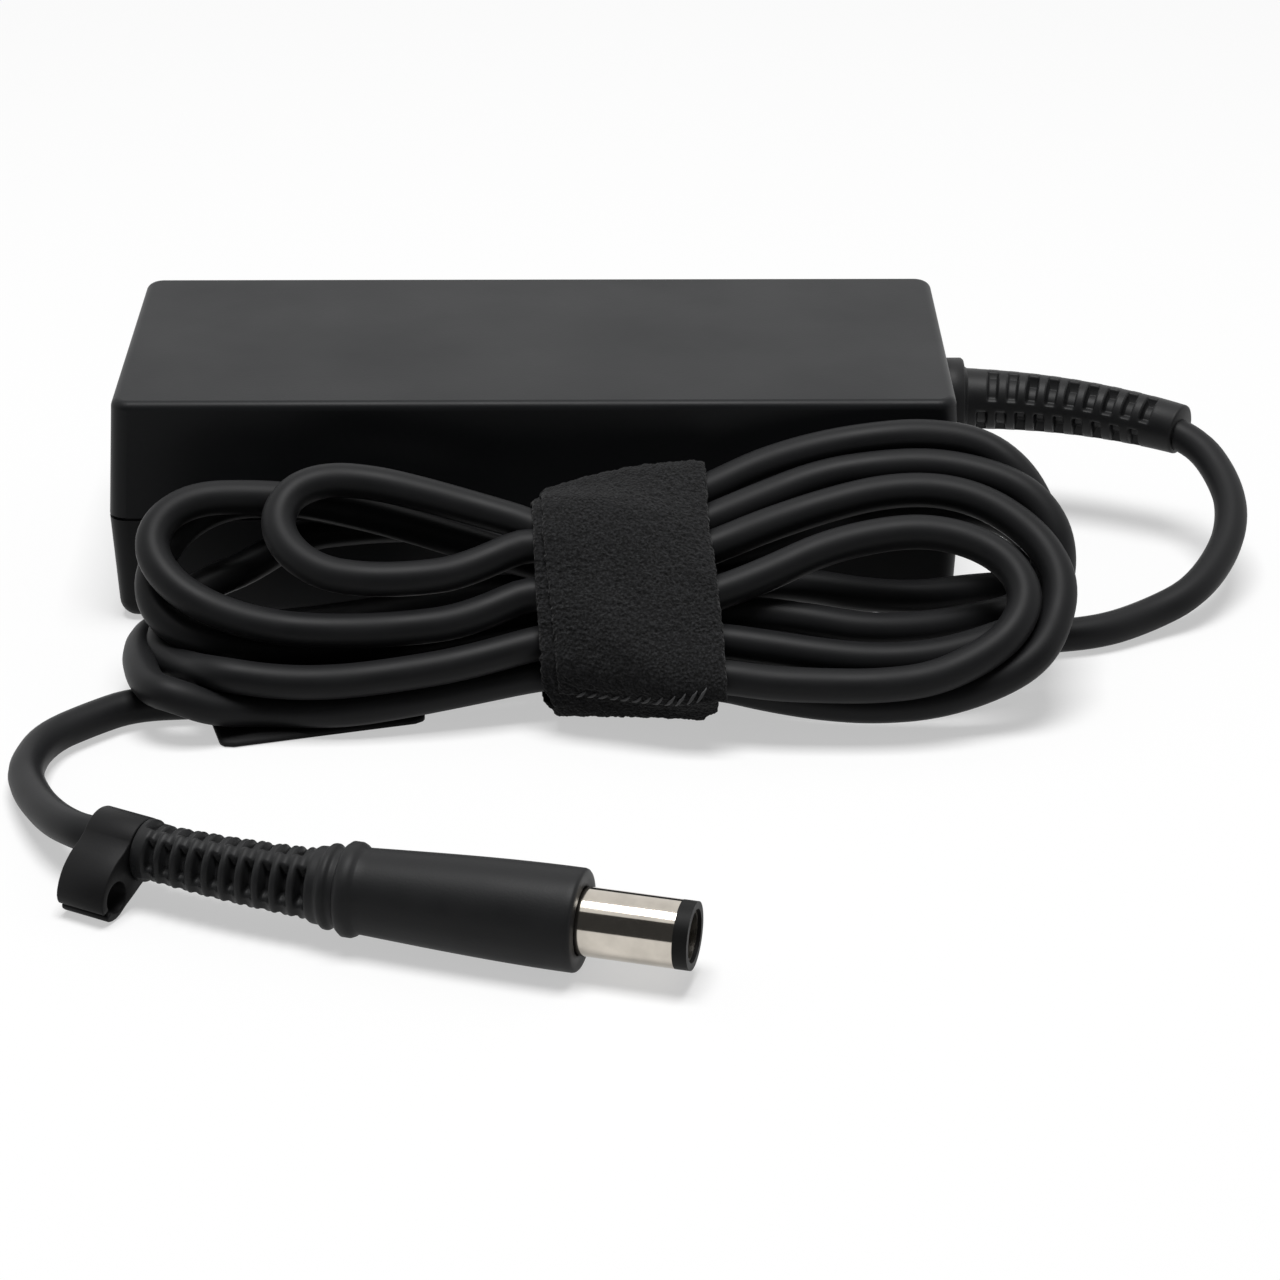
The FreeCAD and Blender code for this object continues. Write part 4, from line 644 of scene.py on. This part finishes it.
# hook and loop strap: two layers round the hank, the outer one a little askew and ending in a hem
strap = {
    # each layer's edges at the top and at the bottom, how far its faces stand off, and how its end slants
    "under": {"left": (-8.2, -6.7), "right": (13.2, 14.2), "inner": 0.0, "outer": 0.7,
              "slant": (0, 0), "seed": 3.0},
    "upper": {"left": (-7.1, -4.3), "right": (13.0, 15.5), "inner": 0.74, "outer": 1.44,
              "slant": (17, 3), "seed": 8.0},
    # angles in degrees at which the upper layer begins and ends, and the point that they are measured from
    "start": -150.0, "end": 163.0, "middle": (-3.0, -1.0),
    "around": 300, "across": 80, "rowStep": 0.27, "planesFrom": -9, "planesTo": 16, "rulerPlane": 3.0,
    # the cloth: how many lumps, fibres and ragged places there are to a length, and the height of each,
    # then how wide its edges are rounded, and by what share of its thickness
    "lump": (1.5, 0.2), "fibre": (3.3, 0.14), "ragged": (0.3, 0.22), "rounding": (0.5, 0.45),
    # its lower corners are cut off by this much, left and right, past this share of the way down
    "cornerCut": (1.4, 1.5), "cornerFrom": 0.93,
    # it bulges at its top, most in mid width, and hangs at its bottom: angle, spread and height of each
    "crown": (28, 55, 1.1), "crownAlong": (1.5, 9.5), "sag": (206, 40, 2.1), "easing": 6,
}
seenUp = Vector((0.886, 0.464))  # the camera's upward direction, up the hank's slope and out of its face


def strapPile():
    # looped cloth: painted shade between the loops, where the bump is low, and paler fibres on top
    finish, tree, shader = newFinish("strapPile", (0.013, 0.013, 0.015), 0.9, sheen=0.09, shine=0.2)
    shader.inputs["Sheen Roughness"].default_value = 0.45
    where = placeNode(tree)
    loops = tree.nodes.new("ShaderNodeTexVoronoi")
    loops.inputs["Scale"].default_value = 1 / (0.45 * mm)
    tree.links.new(where, loops.inputs["Vector"])
    fine = noiseNode(tree, where, 0.32, 3.0, 0.6)
    broad = noiseNode(tree, where, 4.0, 2.0)
    dark, pale, dusty = (0.0025, 0.0025, 0.0025), (0.025, 0.0255, 0.027), (0.009, 0.009, 0.01)
    # dark is painted shade: the fine pattern that raises the loops also darkens their hollows
    tone = blendColours(tree, rampNode(tree, fine, 0.42, 0.64), dark, pale)
    tone = blendColours(tree, rampNode(tree, broad, *patchRange, 0, 0.3), tone, dusty)
    tree.links.new(tone, shader.inputs["Base Color"])
    lumps = bumpNode(tree, loops.outputs["Distance"], 0.25, 0.8)
    tree.links.new(bumpNode(tree, fine, 0.2, 0.8, lumps), shader.inputs["Normal"])
    return finish


pile = strapPile()
tabCloth = mouldedFinish("tabCloth", (0.016, 0.016, 0.0165), (0.022, 0.022, 0.0225), 0.7,
                         grain=0.3, depth=0.05, patch=2.0, shine=0.15)
threadBlack = mouldedFinish("hemThread", (0.05, 0.05, 0.052), (0.075, 0.075, 0.077), 0.55,
                            grain=0.2, depth=0.03, patch=1.5, shine=0.3)


def centreline():
    # the cord's line as Blender draws it, read from the same spline with no thickness
    plain = curve.copy()
    plain.bevel_depth = 0
    holder = bpy.data.objects.new("centreline", plain)
    line = bpy.data.meshes.new_from_object(holder)
    points = [overHank(v.co / mm) for v in line.vertices]
    bpy.data.objects.remove(holder)
    bpy.data.curves.remove(plain)
    bpy.data.meshes.remove(line)
    return points


hankLine = centreline()


def strandsAt(u):
    # where the cord passes through the plane across the hank at u
    found = []
    for a, b in zip(hankLine, hankLine[1:]):
        if (a.x < u) != (b.x < u):
            share = (u - a.x) / (b.x - a.x)
            found.append((a.y + (b.y - a.y) * share, a.z + (b.z - a.z) * share))
    return found


def bandReach(u, angles, pullCount=240, leastSlant=0.2):
    # how far a band pulled round the strands at u stands from the strap's middle, at each angle
    strands = strandsAt(u)
    middle = strap["middle"]
    pulls = []
    for k in range(pullCount):
        way = 2 * math.pi * k / pullCount
        reach = max((v - middle[0]) * math.cos(way) + (w - middle[1]) * math.sin(way) for v, w in strands)
        pulls.append((way, reach + cord["diameter"] / 2))
    reaches = []
    for angle in angles:
        near = ((math.cos(way - angle), reach) for way, reach in pulls)
        reaches.append(min(reach / slant for slant, reach in near if slant > leastSlant))
    return reaches


def stretched(values):
    # the band spans hollows along the hank: straight between the high points of the values
    high = []
    for k, value in enumerate(values):
        while len(high) > 1 and (high[-1][1] - high[-2][1]) * (k - high[-2][0]) <= \
                (value - high[-2][1]) * (high[-1][0] - high[-2][0]):
            high.pop()
        high.append((k, value))
    spanned = []
    for (a, first), (b, second) in zip(high, high[1:]):
        spanned += [first + (second - first) * (k - a) / (b - a) for k in range(a, b)]
    return spanned + [values[-1]]


def swell(angle, u):
    # bulge at the top, greatest in the middle of the strap, and sag at the bottom
    def hill(place, spread, height):
        away = (math.degrees(angle) - place + 180) % 360 - 180
        return height * math.exp(-(away / spread) ** 2)

    centre, reach = strap["crownAlong"]
    return hill(*strap["crown"]) * (1 - ((u - centre) / reach) ** 2) + hill(*strap["sag"])


def eased(reaches):
    # corners of the outline rounded off
    count = len(reaches)
    for turn in range(strap["easing"]):
        reaches = [(reaches[k - 1] + reaches[k] * 2 + reaches[(k + 1) % count]) / 4 for k in range(count)]
    return reaches


def onRing(angle, reach):
    v, w = strap["middle"]
    return Vector((v + reach * math.cos(angle), w + reach * math.sin(angle)))


def evenAngles(count=720):
    # angles that space the strap's points evenly along its outline in one plane of the hank
    rough = [2 * math.pi * k / count for k in range(count)]
    outline = [onRing(a, r) for a, r in zip(rough, bandReach(strap["rulerPlane"], rough))]
    lengths = [0.0]
    for k in range(count):
        lengths.append(lengths[-1] + (outline[(k + 1) % count] - outline[k]).length)
    angles = []
    k = 0
    for j in range(strap["around"]):
        target = lengths[-1] * j / strap["around"]
        while lengths[k + 1] < target:
            k += 1
        angles.append(2 * math.pi * (k + (target - lengths[k]) / (lengths[k + 1] - lengths[k])) / count)
    return angles


strapAngles = evenAngles()
planes = [float(u) for u in range(strap["planesFrom"], strap["planesTo"] + 1)]  # 1 mm apart along the hank
rings = [bandReach(u, strapAngles) for u in planes]
columns = [stretched(list(column)) for column in zip(*rings)]
rings = [eased([columns[j][k] + swell(angle, u) for j, angle in enumerate(strapAngles)])
         for k, u in enumerate(planes)]


def onStrap(u, j, out):
    # a place on the band: j counts round it, out is the distance outwards from the strands
    k = max(0, min(len(planes) - 2, int(u - planes[0])))
    share = u - planes[k]

    def ringPoint(i):
        i %= strap["around"]
        return onRing(strapAngles[i], rings[k][i] + (rings[k + 1][i] - rings[k][i]) * share)

    low = math.floor(j)
    first = ringPoint(low)
    second = ringPoint(low + 1)
    along = (second - first).normalized()
    place = first + (second - first) * (j - low)
    return onHank(u, *(place + Vector((along.y, -along.x)) * out))


def strapHeights():
    # 0 at the top of the strap as the camera sees it, 1 at its bottom
    seen = [onRing(a, r).dot(seenUp) for a, r in zip(strapAngles, rings[len(rings) // 2])]
    return [(max(seen) - height) / (max(seen) - min(seen)) for height in seen]


heights = strapHeights()


def between(ends, share):
    return ends[0] + (ends[1] - ends[0]) * share


def layerPoints(layer, first, last, whole):
    # the points of a layer's outer face, row by row, then those of its inner face
    across = strap["across"]
    points = []
    lumpRate, lumpHeight = strap["lump"]
    fibreRate, fibreHeight = strap["fibre"]
    raggedRate, raggedDepth = strap["ragged"]
    edgeWidth, edgeShare = strap["rounding"]
    for side in ("outer", "inner"):
        for j in range(first, last):
            share = heights[j % strap["around"]]
            corner = smooth((share - strap["cornerFrom"]) / (1 - strap["cornerFrom"]))
            left = between(layer["left"], share) + strap["cornerCut"][0] * corner
            right = between(layer["right"], share) - strap["cornerCut"][1] * corner
            ragged = noise.noise(Vector((j * raggedRate, layer["seed"], 0))) * raggedDepth
            fromEnd = math.inf if whole else min(j - first, last - 1 - j) * strap["rowStep"]
            for k in range(across + 1):
                u = left + (right - left) * k / across + ragged
                at = j + between(layer["slant"], k / across) * (j - first) / (last - first)
                out = layer[side]
                if side == "outer":
                    near = min(u - left - ragged, right + ragged - u, fromEnd)
                    if near < edgeWidth:
                        fall = 1 - math.sqrt(max(0.0, near) / edgeWidth)
                        out -= (layer["outer"] - layer["inner"]) * edgeShare * fall
                    spot = Vector((u, at * strap["rowStep"], layer["seed"]))
                    out += noise.noise(spot * lumpRate) * lumpHeight
                    out += noise.noise(spot * fibreRate) * fibreHeight
                points.append(onStrap(u, at, out))
    return points


def layerFaces(base, count, whole):
    # outer face, inner face and edges, and ends where the layer is not a whole ring
    across = strap["across"]
    size = count * (across + 1)
    faces = []
    spans = count if whole else count - 1
    for j in range(spans):
        a = base + j * (across + 1)
        b = base + ((j + 1) % count) * (across + 1)
        for k in range(across):
            faces.append((a + k, a + k + 1, b + k + 1, b + k))
            faces.append((a + size + k, b + size + k, b + size + k + 1, a + size + k + 1))
        for k in (0, across):
            faces.append((a + k, b + k, b + size + k, a + size + k))
    if not whole:
        for j in (0, count - 1):
            a = base + j * (across + 1)
            for k in range(across):
                faces.append((a + k, a + k + 1, a + size + k + 1, a + size + k))
    return faces


def nearestRow(degrees):
    return min(range(strap["around"]), key=lambda j: abs(strapAngles[j] - math.radians(degrees)))


def strapPiece(hemRow):
    # each layer is a closed shell
    around = strap["around"]
    startRow = nearestRow(strap["start"] + 360) - around
    verts = []
    faces = []
    for layer, first, last in (("under", 0, around), ("upper", startRow, hemRow)):
        count = last - first
        faces += layerFaces(len(verts), count, count == around)
        verts += layerPoints(strap[layer], first, last, count == around)
    return addMesh("cordStrap", verts, faces, pile)


hemRow = nearestRow(strap["end"])
cordStrap = strapPiece(hemRow)
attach(cordStrap, "root")
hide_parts("cord_strap")

# slanted stitches along the hem at the lower end of the outer layer, between its left and right edge
# rowsBefore: how far from the layer's end a stitch starts; rows: how far it runs, both in rows of the strap
hem = {
    "left": 1.6, "right": 1.9, "pitch": 1.3, "uneven": 0.12, "rowsBefore": 2.5, "rows": 5.0, "length": 1.15,
    "lift": 0.03, "arch": 0.12, "radius": 0.2, "tip": 0.35, "sides": 8, "steps": 6, "seed": 5,
}


def hemPiece():
    chance = random.Random(hem["seed"])
    upper = strap["upper"]
    verts = []
    faces = []
    sides, steps = hem["sides"], hem["steps"]
    left = upper["left"][1] + hem["left"]
    right = upper["right"][1] - hem["right"]
    for n in range(int((right - left) / hem["pitch"])):
        start = left + n * hem["pitch"] + chance.uniform(-hem["uneven"], hem["uneven"])
        startRow = hemRow - hem["rowsBefore"] + between(upper["slant"], (start - left) / (right - left))
        base = len(verts)
        for k in range(steps + 1):
            share = k / steps
            u = start + hem["length"] * share
            j = startRow - hem["rows"] * share
            lift = upper["outer"] + hem["lift"] + hem["arch"] * math.sin(math.pi * share)
            place = onStrap(u, j, lift)
            out = (onStrap(u, j, lift + 1) - place).normalized()
            way = (onStrap(u + 0.5, j - 2, lift) - onStrap(u - 0.5, j + 2, lift)).normalized()
            aside = out.cross(way).normalized()
            thick = hem["radius"] * (hem["tip"] + (1 - hem["tip"]) * math.sin(math.pi * share))
            for s in range(sides):
                angle = 2 * math.pi * s / sides
                verts.append(place + (aside * math.cos(angle) + out * math.sin(angle)) * thick)
        faces += ringFaces(base, steps + 1, sides)
        faces.append(tuple(base + s for s in range(sides)))
        faces.append(tuple(base + steps * sides + s for s in range(sides)))
    return addMesh("strapStitches", verts, faces, threadBlack)


stitches = hemPiece()
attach(stitches, "root")

# the strap's loose end, flat on the floor under the hank
tab = {
    "corner": (-36.7, -58.2, 0.0), "turn": 15.5, "length": 25.0, "width": 21.0, "thickness": 0.7,
    "lowest": 0.02, "cut": 1.5, "edge": 0.18, "steps": 60, "rows": 50,
}


def tabPiece():
    steps, rows, cut = tab["steps"], tab["rows"], tab["cut"]
    turn = math.radians(tab["turn"])
    along = Vector((math.cos(turn), math.sin(turn), 0))
    across = Vector((-math.sin(turn), math.cos(turn), 0))
    verts = []
    for top in (True, False):
        for r in range(rows + 1):
            y = tab["width"] * r / rows
            past = max(0.0, cut - y, cut - (tab["width"] - y))
            inset = cut - math.sqrt(cut ** 2 - past ** 2)
            for s in range(steps + 1):
                x = inset + (tab["length"] - 2 * inset) * s / steps
                z = tab["thickness"] if top else tab["lowest"]
                if top and (s in (0, steps) or r in (0, rows)):
                    z -= tab["edge"]
                verts.append(Vector(tab["corner"]) + along * x + across * y + Vector((0, 0, z)))
    layer = (rows + 1) * (steps + 1)
    faces = []
    for r in range(rows):
        for s in range(steps):
            a = r * (steps + 1) + s
            b = a + steps + 1
            faces.append((a, a + 1, b + 1, b))
            faces.append((layer + a, layer + b, layer + b + 1, layer + a + 1))
    border = list(range(steps + 1))
    border += [r * (steps + 1) + steps for r in range(1, rows + 1)]
    border += [rows * (steps + 1) + s for s in range(steps - 1, -1, -1)]
    border += [r * (steps + 1) for r in range(rows - 1, 0, -1)]
    for a, b in zip(border, border[1:] + border[:1]):
        faces.append((a, layer + a, layer + b, b))
    return addMesh("strapEnd", verts, faces, tabCloth)


strapEnd = tabPiece()
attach(strapEnd, "root")
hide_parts("strap_tail")
print("strap made")


# floor, card, lamp and room: sizes and places in metres from here on
# floorUnseen and roomUnseen: how bright they are to scattered light
# floorGlow: how much of the floor's light is its own where it is seen
stage = {"floorSize": 8, "floorHeight": -0.0001, "floorGlow": 0.5, "floorUnseen": 0.3, "roomUnseen": 0.15}


def seenShare(tree):
    # 1 for rays from the camera and by way of mirrors and glass, 0 for scattered light
    path = tree.nodes.new("ShaderNodeLightPath")
    share = path.outputs["Is Camera Ray"]
    for ray in ("Is Glossy Ray", "Is Transmission Ray"):
        either = tree.nodes.new("ShaderNodeMath")
        either.operation = "MAXIMUM"
        tree.links.new(share, either.inputs[0])
        tree.links.new(path.outputs[ray], either.inputs[1])
        share = either.outputs[0]
    return share


def floorFinish():
    # white where it is seen, and it keeps the shadow; darker to scattered light, so that it throws little
    # light back up the object's sides
    finish, tree, shader = newFinish("paleFloor", (1, 1, 1), 0.7, shine=0.0)
    light = tree.nodes.new("ShaderNodeEmission")
    light.inputs["Color"].default_value = (1, 1, 1, 1)
    seen = seenShare(tree)
    tone = blendColours(tree, seen, (stage["floorUnseen"],) * 3, (1, 1, 1))
    tree.links.new(tone, shader.inputs["Base Color"])
    mix = tree.nodes.new("ShaderNodeMixShader")
    tree.links.new(rampNode(tree, seen, 0, 1, 0, stage["floorGlow"]), mix.inputs[0])
    tree.links.new(shader.outputs[0], mix.inputs[1])
    tree.links.new(light.outputs[0], mix.inputs[2])
    tree.links.new(mix.outputs[0], tree.nodes["Material Output"].inputs["Surface"])
    return finish


bpy.ops.mesh.primitive_plane_add(size=stage["floorSize"], location=(0, 0, stage["floorHeight"]))
floor = bpy.context.object
floor.name = "paleFloor"
floor.data.materials.append(floorFinish())

# a dark card in front, above the camera, that only mirrors see: the dark band on the plug's barrel
card = {"y": -1.5, "low": 0.0, "high": 3.05, "half": 3.0, "glow": 0.05}
cardMesh = bpy.data.meshes.new("darkCard")
cardMesh.from_pydata([(-card["half"], card["y"], card["low"]), (card["half"], card["y"], card["low"]),
                      (card["half"], card["y"], card["high"]), (-card["half"], card["y"], card["high"])],
                     [], [(0, 1, 2, 3)])
cardFinish, _, cardShader = newFinish("darkCard", (0.004, 0.004, 0.004), 0.9, shine=0.0)
cardShader.inputs["Emission Color"].default_value = (1, 1, 1, 1)
cardShader.inputs["Emission Strength"].default_value = card["glow"]
cardMesh.materials.append(cardFinish)
darkCard = bpy.data.objects.new("darkCard", cardMesh)
darkCard.visible_camera = False
scene.collection.objects.link(darkCard)

# one soft lamp overhead; power in watts
softbox = {"place": (0.0, -0.1, 1.35), "aim": (0, 0.0, 0), "size": (0.74, 0.57), "power": 17.2}
lampData = bpy.data.lights.new("overheadSoftbox", "AREA")
lampData.shape = "RECTANGLE"
lampData.size, lampData.size_y = softbox["size"]
lampData.energy = softbox["power"]
lamp = bpy.data.objects.new("overheadSoftbox", lampData)
lamp.location = softbox["place"]
lamp.rotation_euler = (Vector(softbox["aim"]) - Vector(softbox["place"])).to_track_quat("-Z", "Y").to_euler()
scene.collection.objects.link(lamp)

# the room: white where it is seen, weak as a light of its own
world = bpy.data.worlds.new("paleRoom")
world.use_nodes = True
room = world.node_tree
sky = room.nodes["Background"]
sky.inputs["Color"].default_value = (1, 1, 1, 1)
room.links.new(rampNode(room, seenShare(room), 0, 1, stage["roomUnseen"], 1.0), sky.inputs["Strength"])
scene.world = world
scene.view_settings.view_transform = "Standard"
print("stage set")
